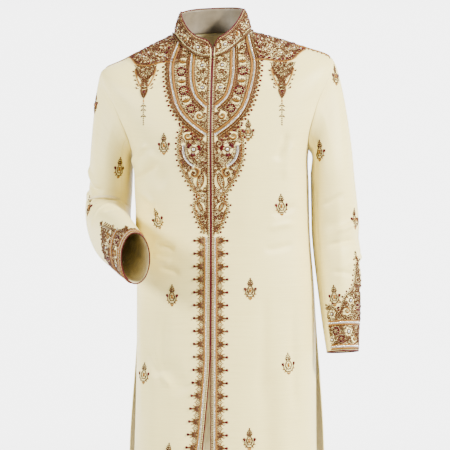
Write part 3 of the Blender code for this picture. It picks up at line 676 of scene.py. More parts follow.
def collar_grid():
    """Outer points, outward directions and cloth lengths of the collar, in rows from its seam up."""
    turns, base, _, upward, places = neckline(COLLAR_COLUMNS)
    base = base + upward * SEAM_GAP
    along = plain_body(turns + 0.2, NECK) - plain_body(turns - 0.2, NECK)
    outward = np.cross(along, [0, 0, 1])
    outward[:, 2] = 0
    outward = unit(outward)
    height = collar_height(turns, np.minimum(places, places[-1] - places))
    facing = np.cos(np.radians(turns))
    lean = COLLAR_LEAN_SIDE + (COLLAR_LEAN_FRONT - COLLAR_LEAN_SIDE) * np.clip(facing, 0, 1) ** 2
    lean += (COLLAR_LEAN_BACK - COLLAR_LEAN_SIDE) * np.clip(-facing, 0, 1) ** 2
    rows = []
    for share in np.linspace(0, 1, COLLAR_ROWS + 1):
        rise = height[:, None] * share * np.array([0, 0, 1])
        inward = lean * height / COLLAR_SIDE_HEIGHT * share
        bulge = COLLAR_BULGE * math.sin(math.pi * share)
        rows.append(base + rise + outward * (bulge - inward)[:, None])
    return np.array(rows), outward, places, height


# Mesh makers

SKINS = {}
LINES = {}
SIDES = (("left", 1), ("right", -1))


def make_object(name, points, faces, materials, face_material=None, cloth_map=None):
    """One named object with its materials and, for each corner, its place in the cloth."""
    mesh = bpy.data.meshes.new(name)
    mesh.from_pydata(points.tolist(), [], faces.tolist() if hasattr(faces, "tolist") else faces)
    for material in materials:
        mesh.materials.append(material)
    if face_material is not None:
        mesh.polygons.foreach_set("material_index", np.asarray(face_material, np.int32))
    if cloth_map is not None:
        corners = np.zeros(len(mesh.loops), np.int32)
        mesh.loops.foreach_get("vertex_index", corners)
        layer = mesh.uv_layers.new(name="cloth")
        layer.data.foreach_set("uv", np.asarray(cloth_map, np.float32)[corners].ravel())
    mesh.shade_smooth()
    mesh.update()
    thing = bpy.data.objects.new(name, mesh)
    bpy.context.scene.collection.objects.link(thing)
    return thing


def grid_faces(rows, columns, start=0, flip=False, round_way=False):
    """The four-sided faces of a grid of points."""
    row = np.arange(rows - 1)[:, None]
    column = np.arange(columns if round_way else columns - 1)[None, :]
    a = start + row * columns + column
    b = start + row * columns + (column + 1) % columns
    faces = np.stack([a, b, b + columns, a + columns], axis=-1).reshape(-1, 4)
    return faces[:, ::-1] if flip else faces


def make_wall(name, outer, inner, across, along, materials):
    """A thin wall of cloth from its outer and inner points, with the lining's finish inside."""
    rows, columns = outer.shape[:2]
    size = rows * columns
    points = np.concatenate([outer.reshape(-1, 3), inner.reshape(-1, 3)])
    face = grid_faces(rows, columns)
    first = points[face[0]]
    normal = np.cross(first[1] - first[0], first[2] - first[1])
    away = outer[0, 0] - inner[0, 0]
    flip = normal @ away < 0
    outside = grid_faces(rows, columns, 0, flip)
    inside = grid_faces(rows, columns, size, not flip)
    rims = []
    last = columns - 1
    for line in (
        np.arange(columns),
        np.arange(columns)[::-1] + (rows - 1) * columns,
        np.arange(rows)[::-1] * columns,
        np.arange(rows) * columns + last,
    ):
        rim = np.stack([line[1:], line[:-1], line[:-1] + size, line[1:] + size], axis=-1)
        rims.append(rim[:, ::-1] if flip else rim)
    rims = np.concatenate(rims)
    faces = np.concatenate([outside, inside, rims])
    finish = np.concatenate([np.zeros(len(outside)), np.ones(len(inside)), np.zeros(len(rims))])
    place = np.stack(np.broadcast_arrays(across, along, np.zeros((rows, columns)))[:2], axis=-1)
    cloth_map = np.tile(place.reshape(-1, 2), (2, 1))
    piece = make_object(name, points, faces, materials, finish, cloth_map)
    SKINS[name] = BVHTree.FromPolygons(outer.reshape(-1, 3).tolist(), outside.tolist())
    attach(piece, "root")
    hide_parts(name)
    return piece


def path_directions(centres, round_way=False):
    """The direction of a line at each of its points."""
    if round_way:
        return unit(np.roll(centres, -1, axis=0) - np.roll(centres, 1, axis=0))
    return unit(np.gradient(centres, axis=0))


class Handwork:
    """Raised work of one finish, gathered until it becomes one object."""

    def __init__(self):
        self.points = []
        self.faces = []
        self.place = []
        self.size = 0

    def add(self, points, faces, place):
        """Put in some points, with their faces and their places along the thread."""
        self.points.append(points)
        self.faces.extend((np.asarray(face) + self.size).tolist() for face in faces)
        self.place.append(place)
        self.size += len(points)

    def finish(self, name, material, slot):
        """Make the object, riding on the coat."""
        points = np.concatenate(self.points)
        piece = make_object(name, points, self.faces, [material], None, np.concatenate(self.place))
        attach(piece, "root")
        return piece


def add_cord(work, centres, normals, radius, sides=6, round_way=False, flat=1.0, taper=0.0):
    """A cord along a line, round or flattened, whose ends may run thin."""
    count = len(centres)
    if count < 2:
        return
    ways = path_directions(centres, round_way)
    across = unit(np.cross(ways, normals))
    upright = unit(np.cross(across, ways))
    run = travelled(centres)
    thick = np.full(count, radius)
    if taper:
        near_end = np.minimum(run, run[-1] - run)
        thick = radius * (0.35 + 0.65 * smooth_step(near_end / taper))
    angles = around(sides)
    rings = [
        centres + thick[:, None] * (flat * math.cos(a) * upright + math.sin(a) * across)
        for a in angles
    ]
    points = np.stack(rings, axis=1).reshape(-1, 3)
    place = np.stack([np.repeat(run, sides), np.tile(angles / (2 * math.pi), count)], axis=1)
    faces = grid_faces(count, sides, round_way=True).tolist()
    lead = np.arange(sides)
    last = (count - 1) * sides + lead
    if round_way:
        faces += np.stack([last, np.roll(last, -1), np.roll(lead, -1), lead], axis=-1).tolist()
    else:
        faces += [lead[::-1].tolist(), last.tolist()]
    work.add(points, faces, place)


# Drawing planes


class FrontPlane:
    """Drawings on one front, by the distance out from the opening and the height."""

    def __init__(self, side):
        self.side = side
        self.skin = SKINS["front_left" if side > 0 else "front_right"]

    def press(self, flat):
        """Points and normals of the cloth straight behind each drawn point."""
        below = np.maximum(0, FRONT_PARTS - flat[:, 1])
        swing = PARTING * (below / PARTING_RUN) ** PARTING_POWER if self.side < 0 else 0
        x = self.side * (flat[:, 0] + swing)
        starts = np.stack([x, np.full(len(x), -0.6), flat[:, 1]], axis=1)
        return cast(self.skin, starts, Vector((0, 1, 0)))


class TiltedPlane:
    """Drawings on a plane that leans against the cloth at a heart point."""

    def __init__(self, skin, heart, across, up, facing):
        self.skin = skin
        self.heart = np.array(heart)
        self.across = unit(np.array(across, float))
        up = np.array(up, float)
        self.up = unit(up - self.across * (up @ self.across))
        away = np.cross(self.across, self.up)
        self.away = away if away @ np.array(facing) > 0 else -away

    def flatten(self, points):
        """The drawn places of some points in space."""
        here = points - self.heart
        return np.column_stack([here @ self.across, here @ self.up])

    def press(self, flat):
        """Points and normals of the cloth behind each drawn point."""
        starts = self.heart + flat[:, :1] * self.across + flat[:, 1:] * self.up + self.away * 0.12
        return cast(self.skin, starts, Vector(-self.away))


class WrapPlane:
    """Drawings wrapped round a grid of cloth, by the distance round it and along it."""

    def __init__(self, grid, normals, across, along):
        self.grid = grid
        self.normals = normals
        self.across = across
        self.along = along

    def press(self, flat):
        """Points and normals of the grid at each drawn point."""
        columns = np.interp(flat[:, 0], self.across, np.arange(len(self.across)), np.nan, np.nan)
        if callable(self.along):
            rows = self.along(flat)
        else:
            rows = np.interp(flat[:, 1], self.along, np.arange(len(self.along)), np.nan, np.nan)
        missed = np.isnan(columns) | np.isnan(rows)
        columns = np.where(missed, 0, columns)
        rows = np.where(missed, 0, rows)
        column = np.minimum(columns.astype(int), self.grid.shape[1] - 2)
        row = np.minimum(rows.astype(int), self.grid.shape[0] - 2)
        u = (columns - column)[:, None]
        v = (rows - row)[:, None]
        found = []
        for values in (self.grid, self.normals):
            low = values[row, column] * (1 - u) + values[row, column + 1] * u
            high = values[row + 1, column] * (1 - u) + values[row + 1, column + 1] * u
            found.append(low * (1 - v) + high * v)
        found[0][missed] = np.nan
        return found[0], unit(found[1])


def cast(skin, starts, way):
    """Where lines from some starts first meet a skin, and the skin's normals there."""
    points = np.full((len(starts), 3), np.nan)
    normals = np.zeros((len(starts), 3))
    for i, start in enumerate(starts):
        hit, normal, _, _ = skin.ray_cast(Vector(start), way, 1.2)
        if hit is not None:
            points[i] = hit
            normals[i] = normal if normal.dot(way) < 0 else -normal
    return points, normals


# Drawings

Spot = namedtuple("Spot", "u v turn size flip", defaults=(0.0, 1.0, 1))
Stamp = namedtuple("Stamp", "kind u v turn length width height")
ThreadKind = namedtuple("ThreadKind", "work radius sides flat")

THREAD_KINDS = {
    "fine": ThreadKind("gold", 0.9, 4, 0.8),
    "outline": ThreadKind("cord", 1.2, 5, 0.9),
    "thick": ThreadKind("gold", 1.75, 6, 0.9),
    "bold": ThreadKind("cord", 1.55, 5, 0.85),
    "bright": ThreadKind("gold", 1.6, 5, 0.8),
}
STAMP_WORK = {
    "bead": "gold",
    "leaf": "gold",
    "knot": "cord",
    "frond": "cord",
    "seed": "stones",
    "drop": "stones",
    "bugle": "silver",
    "crystal": "silver",
}
# A thread runs thin over this length at its ends, and is cut where the cloth steps further than the jump
THREAD_TAPER = 0.002
THREAD_JUMP = 0.02
WORK_FINISH = {
    "gold": ("gold thread", "gold_braid"),
    # The cord's gold is darkened to brown as painted shade along the outlines and between the raised work
    "cord": ("gold cord", "gold_braid"),
    "stones": ("maroon stones", "stones"),
    "silver": ("silver bugles", "silver_braid"),
}


def dome(outline, levels):
    """A low dome over an outline, as points along, across and up, with its faces."""
    count = len(outline)
    rings = [np.column_stack([outline * share, np.full(count, height)]) for share, height in levels]
    points = np.concatenate(rings + [[[outline[:, 0].mean() * 0.5, 0, 1.0]]])
    faces = grid_faces(len(levels), count, round_way=True).tolist()
    last = (len(levels) - 1) * count
    faces += [[last + j, last + (j + 1) % count, len(points) - 1] for j in range(count)]
    return points, faces


def tear(count):
    """An outline that is round at one end and pointed at the other."""
    angles = around(count)
    return on_circle(angles) * np.column_stack([np.ones(count), np.sin(angles / 2) ** 1.3 * 1.25])


def almond(count):
    """An outline that is pointed at both ends."""
    angles = around(count)
    return on_circle(angles) * np.column_stack([np.ones(count), np.abs(np.sin(angles)) ** 0.6])


def bugle_shape():
    """A short tube lying along its length."""
    rings = []
    for along, size in ((-1, 0.7), (-0.9, 1.0), (0.9, 1.0), (1, 0.7)):
        rings.append(np.column_stack([np.full(6, along), size * on_circle(around(6))]))
    points = np.concatenate(rings)
    points[:, 2] = 0.5 + 0.5 * points[:, 2]
    faces = grid_faces(4, 6, round_way=True).tolist()
    faces += [list(range(6))[::-1], list(range(18, 24))]
    return points, faces


CUT = ((1.0, -0.3), (0.96, 0.4), (0.55, 0.95))
BEAD = dome(on_circle(around(6)), ((1.0, -0.3), (0.85, 0.6)))
LEAF = dome(almond(8), ((1.0, -0.3), (0.8, 0.6)))
SHAPES = {
    "bead": BEAD,
    "knot": BEAD,
    "seed": BEAD,
    "crystal": dome(on_circle(around(8)), CUT),
    "drop": dome(tear(10), CUT),
    "leaf": LEAF,
    "frond": LEAF,
    "bugle": bugle_shape(),
}


class Drawing:
    """A flat drawing for needlework: threads as lines, and beads, leaves and stones as stamps."""

    def __init__(self):
        self.threads = []
        self.stamps = []
        self.spot = None

    def put(self, motif, spot):
        """Draw a motif at a spot."""
        self.spot = spot
        motif(self)
        self.spot = None

    def thread(self, kind, line):
        """Lay a thread along a line."""
        self.threads.append((kind, set_down(line, self.spot)))

    def ring(self, kind, angles, reach, length, width=None, inward=False):
        """Sew on a bead at each angle round the middle, or a leaf or drop that points out or inward."""
        for angle in angles:
            turn = 0 if width is None else angle + math.pi * inward
            self.stamp(kind, polar(angle, reach), turn, length, width)

    def stamp(self, kind, at, turn, length, width=None, height=None):
        """Sew on one bead, leaf or stone, by its half length and half width."""
        spot = self.spot
        size = spot.size if spot else 1.0
        u, v = set_down([at], spot)[0]
        if spot:
            turn = spot.turn + (turn if spot.flip > 0 else math.pi - turn)
        width = length if width is None else width
        height = 0.8 * width if height is None else height
        self.stamps.append(Stamp(kind, u, v, turn, length * size, width * size, height * size))

    def sew(self, plane, title, radius):
        """Press the drawing onto the cloth and make one object of each kind of work."""
        works = {name: Handwork() for name in WORK_FINISH}
        if self.threads:
            flat = np.concatenate([line for _, line in self.threads])
            points, normals = plane.press(flat)
            start = 0
            for kind, line in self.threads:
                end = start + len(line)
                self.sew_thread(works, kind, points[start:end], normals[start:end], radius)
                start = end
        for kind in STAMP_WORK:
            chosen = [stamp for stamp in self.stamps if stamp.kind == kind]
            if chosen:
                self.sew_stamps(works[STAMP_WORK[kind]], kind, chosen, plane)
        pieces = {}
        for name, work in works.items():
            if work.size:
                material, slot = WORK_FINISH[name]
                pieces[name] = work.finish(title + "_" + name, finish(material), slot)
        return pieces

    def sew_thread(self, works, kind, points, normals, radius):
        """Sew down the parts of one thread that lie on the cloth."""
        sort = THREAD_KINDS[kind]
        thick = sort.radius * radius
        held = ~np.isnan(points[:, 0])
        start = None
        for i in range(len(points) + 1):
            on = i < len(points) and held[i]
            if on and start is not None and np.linalg.norm(points[i] - points[i - 1]) > THREAD_JUMP:
                on = False
            if on and start is None:
                start = i
            if not on and start is not None:
                part = slice(start, i)
                centres = points[part] + normals[part] * thick * 0.6
                work = works[sort.work]
                add_cord(work, centres, normals[part], thick, sort.sides, flat=sort.flat, taper=THREAD_TAPER)
                start = None

    def sew_stamps(self, work, kind, chosen, plane):
        """Sew on all stamps of one kind."""
        table = np.array([stamp[1:] for stamp in chosen])
        at = table[:, :2]
        ahead = at + 0.0006 * on_circle(table[:, 2])
        points, normals = plane.press(np.concatenate([at, ahead]))
        count = len(at)
        held = ~(np.isnan(points[:count, 0]) | np.isnan(points[count:, 0]))
        centres = points[:count][held]
        normals = normals[:count][held]
        ways = points[count:][held] - centres
        ways = unit(ways - normals * np.sum(ways * normals, axis=1, keepdims=True))
        asides = np.cross(normals, ways)
        shape, faces = SHAPES[kind]
        sizes = table[held][:, 3:]
        placed = (
            centres[:, None]
            + ways[:, None] * (shape[None, :, :1] * sizes[:, None, :1])
            + asides[:, None] * (shape[None, :, 1:2] * sizes[:, None, 1:2])
            + normals[:, None] * (shape[None, :, 2:] * sizes[:, None, 2:])
        )
        run = shape[:, 0] * 0.5
        for group in placed:
            work.add(group, faces, np.column_stack([run * 0.004, shape[:, 1] * 0.1]))


def set_down(points, spot):
    """Points of a motif, turned, sized and moved to its spot."""
    points = np.atleast_2d(np.asarray(points, float))
    if spot is None:
        return points
    cosine = math.cos(spot.turn)
    sine = math.sin(spot.turn)
    points = points * spot.size * [spot.flip, 1]
    return points @ np.array([[cosine, sine], [-sine, cosine]]) + [spot.u, spot.v]


def curve(points, count):
    """A smooth line of evenly spread points through a few."""
    points = np.asarray(points, float)
    place = np.arange(len(points), dtype=float)
    dense = np.array([between(points, place, at) for at in np.linspace(0, place[-1], 6 * len(points))])
    return spaced(dense, count)


def spaced(line, count):
    """A line's points at even distances."""
    run = travelled(line)
    places = np.linspace(0, run[-1], count)
    return np.column_stack([np.interp(places, run, line[:, 0]), np.interp(places, run, line[:, 1])])


def line_length(line):
    """The length of a flat line."""
    return float(np.linalg.norm(np.diff(line, axis=0), axis=1).sum())


def beside(line, distance):
    """A line at one distance to the left of another."""
    ways = unit(np.gradient(line, axis=0))
    return line + distance * np.column_stack([-ways[:, 1], ways[:, 0]])


def spiral(turns, count=22):
    """A spiral from its outer end at (1, 0) inward."""
    share = np.linspace(0, 1, count)
    reach = 1 - 0.82 * share
    angle = 2 * math.pi * turns * share
    return np.column_stack([reach * np.cos(angle), reach * np.sin(angle)])


# Motifs, drawn about a heart at (0, 0)

# Scrolls larger than this have a bold outline
BOLD_SCROLL = 0.0042


def scroll(drawing):
    """A single scroll with a bead at its heart."""
    drawing.thread("bold" if drawing.spot.size > BOLD_SCROLL else "outline", spiral(1.3, 18))
    drawing.stamp("seed", (0, 0), 0, 0.26)
    drawing.stamp("leaf", (0.42, -0.52), -0.6, 0.3, 0.14)


def double_scroll(drawing):
    """Two scrolls turned against each other, with leaves between."""
    first = spiral(1.15, 16) * 0.48 + [0.5, 0.05]
    second = -spiral(1.15, 16) * 0.48 - [0.5, 0.05]
    drawing.thread("outline", np.concatenate([first[::-1], second]))
    for x in (-0.5, 0.5):
        drawing.stamp("seed", (x, 0), 0, 0.19)
    for x, y in ((0.1, 0.62), (-0.1, -0.62), (0.62, 0.62), (-0.62, -0.62)):
        drawing.stamp("leaf", (x, y), 0.4, 0.32, 0.16)


def rosette(drawing):
    """A flower of maroon drops between gold leaves, round a crystal."""
    drawing.ring("drop", around(6), 0.62, 0.34, 0.24, inward=True)
    drawing.ring("leaf", around(6, math.pi / 6), 0.7, 0.3, 0.1)
    drawing.stamp("crystal", (0, 0), 0, 0.24)


def leaf_pair(drawing):
    """Two gold leaves and a bead."""
    drawing.stamp("leaf", (0.35, 0.28), 0.7, 0.6, 0.26)
    drawing.stamp("leaf", (-0.35, 0.28), math.pi - 0.7, 0.6, 0.26)
    drawing.stamp("seed", (0, -0.45), 0, 0.42)


def drop_cluster(drawing):
    """A cluster of maroon drops round a bead."""
    drawing.ring("drop", around(5, 0.4), 0.6, 0.44, 0.3, inward=True)
    drawing.stamp("knot", (0, 0), 0, 0.2)


def gold_bead(drawing):
    """One gold bead."""
    drawing.stamp("knot", (0, 0), 0, 0.9)


def maroon_drop(drawing):
    """One maroon drop between two leaves of gold cord, darkened to brown as painted shade."""
    drawing.stamp("drop", (0, 0.1), math.pi / 2, 0.8, 0.55)
    drawing.stamp("frond", (0.6, -0.5), 0.9, 0.6, 0.26)
    drawing.stamp("frond", (-0.6, -0.5), math.pi - 0.9, 0.6, 0.26)


def shade_dark_leaf(drawing):
    """One leaf of gold cord, darkened to brown as painted shade."""
    drawing.stamp("frond", (0, 0), 0, 1.15, 0.5)


def maroon_seed(drawing):
    """One small maroon bead."""
    drawing.stamp("seed", (0, 0), 0, 0.95)


def butta(drawing):
    """A sprig of height 1: a bud above, an oval heart, and two arms that end in maroon drops."""
    angles = np.linspace(0, 2 * math.pi, 20)
    oval = np.column_stack([0.13 * np.sin(angles), 0.19 * np.cos(angles) - 0.05])
    drawing.thread("outline", oval)
    drawing.stamp("leaf", (0, -0.05), math.pi / 2, 0.13, 0.075)
    drawing.stamp("seed", (0, -0.05), 0, 0.036)
    for x, y in ((-0.07, 0.02), (0.07, 0.02), (-0.07, -0.13), (0.07, -0.13)):
        drawing.stamp("seed", (x, y), 0, 0.024)
    drawing.thread("outline", [(0, 0.13), (0.006, 0.25), (0, 0.4)])
    for y, reach in ((0.20, 0.085), (0.29, 0.07), (0.37, 0.05)):
        for side in (-1, 1):
            turn = math.pi / 2 - side * 0.75
            drawing.stamp("frond", (side * reach, y + 0.03), turn, reach, reach * 0.55)
    for at in ((0, 0.44), (-0.05, 0.40), (0.05, 0.40)):
        drawing.stamp("knot", at, 0, 0.036)
    drawing.stamp("seed", (0, 0.5), 0, 0.042)
    for at in ((-0.05, 0.22), (0.05, 0.22), (0, 0.32)):
        drawing.stamp("seed", at, 0, 0.036)
    for side in (-1, 1):
        arm = curve([(0, -0.36), (side * 0.1, -0.33), (side * 0.19, -0.22), (side * 0.215, -0.09)], 12)
        drawing.thread("outline", arm)
        drawing.stamp("drop", (side * 0.235, -0.015), math.pi / 2 + side * 2.9, 0.1, 0.075)
        for share, turn in ((4, 2.3), (8, 1.9)):
            at = arm[share] + [side * 0.03, -0.03]
            drawing.stamp("leaf", at, math.pi / 2 - side * turn, 0.065, 0.034)
        drawing.stamp("knot", (side * 0.075, 0.17), 0, 0.03)
        drawing.stamp("leaf", (side * 0.05, -0.43), math.pi / 2 + side * 2.6, 0.075, 0.036)
        drawing.stamp("seed", (side * 0.1, -0.25), 0, 0.028)
    drawing.stamp("leaf", (0, -0.45), math.pi / 2, 0.085, 0.036)
    drawing.stamp("knot", (0, -0.35), 0, 0.038)


def fan(drawing):
    """A fan of leaves that points up, with a maroon drop at its tip."""
    for turn, reach in ((0, 0.78), (0.5, 0.62), (1.0, 0.48), (1.5, 0.4)):
        angles = [math.pi / 2 + turn, math.pi / 2 - turn] if turn else [math.pi / 2]
        drawing.ring("frond", angles, reach * 0.55, reach * 0.52, reach * 0.2)
        if turn:
            drawing.ring("bead", angles, reach * 1.12, 0.075)
    drawing.stamp("drop", (0, 0.86), -math.pi / 2, 0.22, 0.18)
    drawing.stamp("bead", (0, 0.04), 0, 0.09)


def edge_drops(drawing, line, pitch, size):
    """Small hooks and maroon drops on the left side of a line."""
    count = max(2, round(line_length(line) / pitch))
    places = spaced(line, 2 * count + 1)
    ways = unit(np.gradient(places, axis=0))
    for i, (at, way) in enumerate(zip(places, ways)):
        turn = math.atan2(way[1], way[0]) + math.pi / 2
        out = np.array([-way[1], way[0]])
        if i % 2:
            drawing.stamp("drop", at + out * size * 1.25, turn + math.pi, size * 0.6, size * 0.5)
            for lean in (-1, 1):
                here = at + out * size * 0.5 + way * lean * size * 0.45
                drawing.stamp("frond", here, turn - lean * 0.7, size * 0.6, size * 0.25)
        else:
            drawing.stamp("knot", at + out * size * 0.4, 0, size * 0.28)
            drawing.stamp("leaf", at + out * size * 0.9, turn, size * 0.4, size * 0.2)


def bead_row(drawing, line, pitch, size, kinds=("seed", "bead")):
    """Beads of alternating kinds along a line."""
    for i, at in enumerate(spaced(line, max(2, round(line_length(line) / pitch)))):
        drawing.stamp(kinds[i % len(kinds)], at, 0, size * (0.92, 1.12)[i % 2 == 0])


def bugle_row(drawing, line, pitch, half_length, half_width):
    """Silver bugle beads side by side across a line."""
    places = spaced(line, max(2, round(line_length(line) / pitch)))
    ways = unit(np.gradient(places, axis=0))
    for at, way in zip(places, ways):
        turn = math.atan2(way[1], way[0]) + math.pi / 2
        drawing.stamp("bugle", at, turn, half_length, half_width, 2 * half_width)


# Filling


def reach_inside(points, region):
    """How far points lie inside a closed region, negative outside it."""
    ends = np.roll(region, -1, axis=0)
    run = ends - region
    here = points[:, None] - region[None]
    share = np.clip(np.sum(here * run, axis=2) / np.sum(run * run, axis=1), 0, 1)
    away = np.linalg.norm(here - share[..., None] * run, axis=2).min(axis=1)
    y = points[:, 1:]
    crosses = (region[None, :, 1] > y) != (ends[None, :, 1] > y)
    rise = np.where(np.abs(run[:, 1]) < 1e-9, 1e-9, run[:, 1])
    x = region[:, 0] + (y - region[None, :, 1]) / rise * run[:, 0]
    inside = (crosses & (points[:, :1] < x)).sum(axis=1) % 2 == 1
    return np.where(inside, away, -away)


# Motifs of the filling: size, tries, motif and the share of its size that it keeps clear
FILLING = (
    (0.0066, 60, rosette, 0.90),
    (0.0062, 130, double_scroll, 0.84),
    (0.0048, 500, scroll, 0.82),
    (0.0038, 500, drop_cluster, 0.86),
    (0.0027, 1400, maroon_drop, 0.76),
    (0.0032, 900, scroll, 0.74),
    (0.0025, 1600, leaf_pair, 0.68),
    (0.0021, 2600, shade_dark_leaf, 0.58),
    (0.0016, 5200, maroon_seed, 0.60),
    (0.0015, 5200, shade_dark_leaf, 0.50),
    (0.0014, 5200, gold_bead, 0.50),
    (0.0012, 6200, maroon_seed, 0.50),
)
DENSE_FILLING = (
    (0.0038, 900, scroll, 0.80),
    (0.0026, 1600, maroon_drop, 0.72),
    (0.0026, 1600, leaf_pair, 0.68),
    (0.0021, 2600, shade_dark_leaf, 0.58),
    (0.0016, 5200, maroon_seed, 0.60),
    (0.0015, 5200, shade_dark_leaf, 0.50),
    (0.0014, 5200, gold_bead, 0.50),
)
# The numbers of tries are for a region of this area
FILLING_AREA = 0.012
# Each region starts its dice from its own number, and the second side from the next one
DICE = {
    "yoke": 11,
    "yoke heart": 21,
    "medallion": 31,
    "pendant": 41,
    "shoulder": 51,
    "collar": 61,
    "cuff": 71,
    "cuff crest": 73,
}


def fill(drawing, region, taken, seed, filling=FILLING):
    """Fill a region with scrolls, leaves and beads, clear of what is already there."""
    dice = np.random.default_rng(seed)
    region = np.asarray(region, float)
    low = region.min(axis=0)
    high = region.max(axis=0)
    area = float(np.prod(high - low))
    kept = np.array(taken, float).reshape(-1, 3)
    for radius, tries, motif, close in filling:
        tries = round(tries * area / FILLING_AREA)
        places = dice.uniform(low, high, (tries, 2))
        turns = dice.uniform(0, 2 * math.pi, tries)
        flips = dice.choice((-1, 1), tries)
        inside = reach_inside(places, region) > radius * close
        for place, turn, flip in zip(places[inside], turns[inside], flips[inside]):
            if len(kept):
                gaps = np.hypot(kept[:, 0] - place[0], kept[:, 1] - place[1]) - kept[:, 2]
                if gaps.min() < radius * close:
                    continue
            kept = np.vstack([kept, [place[0], place[1], radius * close]])
            drawing.put(motif, Spot(place[0], place[1], turn, radius, flip))
    return kept


# Where the embroidery lies. On the fronts, lines run by the distance out from the opening and the height.

YOKE_OUTER = (
    (0.0690, 0.006), (0.0760, -0.022), (0.0850, -0.056), (0.0845, -0.085), (0.0790, -0.115),
    (0.0690, -0.148), (0.0540, -0.171), (0.0340, -0.190), (0.0130, -0.205), (0.0095, -0.208),
)
YOKE_INNER = (
    (0.0415, -0.022), (0.0430, -0.052), (0.0435, -0.080), (0.0400, -0.107), (0.0320, -0.130),
    (0.0160, -0.147), (0.0100, -0.152),
)
BAND_INSIDE = 0.0098
BAND_OUTSIDE = 0.0078
OPENING_BEADS = 0.0046
FIELD_EDGE = 0.0074

# The pointed figure below the yoke
MEDALLION = (
    (0.0098, -0.222), (0.0200, -0.213), (0.0360, -0.203), (0.0500, -0.191), (0.0580, -0.196),
    (0.0620, -0.214), (0.0635, -0.235), (0.0620, -0.254), (0.0570, -0.272), (0.0490, -0.290),
    (0.0400, -0.305), (0.0320, -0.319), (0.0220, -0.331), (0.0270, -0.340), (0.0330, -0.350),
    (0.0290, -0.364), (0.0240, -0.378), (0.0180, -0.391), (0.0110, -0.404),
)
SILVER_ARC = ((0.0545, -0.229), (0.0548, -0.242), (0.0510, -0.254), (0.0435, -0.264), (0.0345, -0.270))

BORDER_TOP = -0.41
BORDER_BRAID = 0.0088
BORDER_CORD = 0.0125
BORDER_FAN_ROOT = 0.0163
BORDER_FAN = 0.0185
BORDER_STEP_ROOT = 0.0168
BORDER_STEP = 0.0078
BORDER_FAN_PITCH = 0.0259
BORDER_FAN_TOP = -0.420

# Sprigs on the fronts: out from the opening, height and turn
LEFT_BUTTAS = (
    (0.0755, -0.1996, 0.0),
    (0.1409, -0.3483, 0.05),
    (0.0796, -0.5171, 0.0),
    (0.1549, -0.6679, 0.06),
    (0.0786, -0.8166, 0.0),
    (0.1500, -0.9650, 0.0),
)
RIGHT_BUTTAS = (
    (0.0953, -0.2257, 0.0),
    (0.1114, -0.3764, -0.28),
    (0.0793, -0.5312, 0.0),
    (0.1385, -0.6920, 0.0),
    (0.0700, -0.8500, 0.0),
    (0.1250, -0.9900, 0.0),
)
BUTTA = 0.043
# Sprigs on the sleeves: across and height in front view, with their lean
LEFT_SLEEVE_BUTTAS = ((0.2489, -0.0798, 0.0), (0.2170, -0.2373, 0.0), (0.2888, -0.3759, 0.0))
RIGHT_SLEEVE_BUTTAS = ((-0.2530, -0.1340, 0.0), (-0.1985, -0.2700, 0.0), (-0.2656, -0.3486, 0.0))

# Shoulder work, on a plane that leans on the shoulder: along the seam from the neck, and down from it
SHOULDER_NECK = (0.080, -0.008, 0.014)
SHOULDER_RUN = (0.163, 0.008, -0.069)
SHOULDER_BAND = (
    (-0.002, -0.004), (0.060, -0.004), (0.108, -0.004), (0.114, -0.020), (0.106, -0.044),
    (0.098, -0.070), (0.078, -0.084), (0.058, -0.088), (0.040, -0.092), (0.024, -0.100),
    (0.006, -0.098), (-0.006, -0.060),
)
SHOULDER_CORD = (
    (0.092, -0.018), (0.112, -0.012), (0.132, -0.010), (0.152, -0.009), (0.166, -0.012),
)
# Pendants below the shoulder work: out from the opening and height of the bulb
PENDANTS = {1: (0.1425, -0.120), -1: (0.1385, -0.118)}

# Cuffs: turn and distance back from the sleeve's end
CUFF_BRAIDS = (0.007, 0.055)
CUFF_FIELDS = {
    "left": (
        (133.0, 0.0115), (133.0, 0.0500), (14.0, 0.0500), (14.0, 0.0115),
    ),
    "right": (
        (134.0, 0.0110), (132.0, 0.0160), (100.0, 0.0200), (80.0, 0.0270), (66.0, 0.0400),
        (58.0, 0.0500), (-66.0, 0.0500), (-70.0, 0.0300), (-72.0, 0.0110),
    ),
}
CUFF_CRESTS = {
    "left": (
        (133.0, 0.0605), (133.0, 0.0830), (122.0, 0.0900), (110.0, 0.0850), (98.0, 0.0740),
        (90.0, 0.0760), (82.0, 0.0920), (72.0, 0.1080), (66.0, 0.1120), (57.0, 0.1170),
        (48.0, 0.1300), (41.0, 0.1560), (36.0, 0.1960), (29.0, 0.1580), (16.0, 0.1250),
        (2.0, 0.0605),
    ),
    "right": (
        (56.0, 0.0605), (50.0, 0.0760), (42.0, 0.0880), (39.0, 0.1060), (34.0, 0.1330),
        (24.0, 0.1240), (12.0, 0.1120), (0.0, 0.1180), (-14.0, 0.1060), (-26.0, 0.1120),
        (-38.0, 0.0980), (-50.0, 0.1000), (-60.0, 0.0780), (-66.0, 0.0605),
    ),
}
CUFF_BRAID_SPANS = {
    "left": ((14.0, 133.0), (14.0, 133.0)),
    "right": ((-72.0, 133.0), (-68.0, 57.0)),
}

COLLAR_FIELD_FOOT = 0.0064
COLLAR_FIELD_EDGE = 0.0033


# Motifs of the larger kind


def eight_petals(drawing):
    """A flower of eight maroon drops, with gold leaves between and a beaded heart."""
    petals = around(8, 0.2)
    drawing.ring("drop", petals, 0.6, 0.34, 0.25, inward=True)
    drawing.ring("seed", petals, 1.04, 0.1)
    drawing.ring("frond", petals + math.pi / 8, 0.84, 0.28, 0.12)
    drawing.ring("knot", petals + math.pi / 8, 0.3, 0.08)
    drawing.stamp("bead", (0, 0), 0, 0.19)


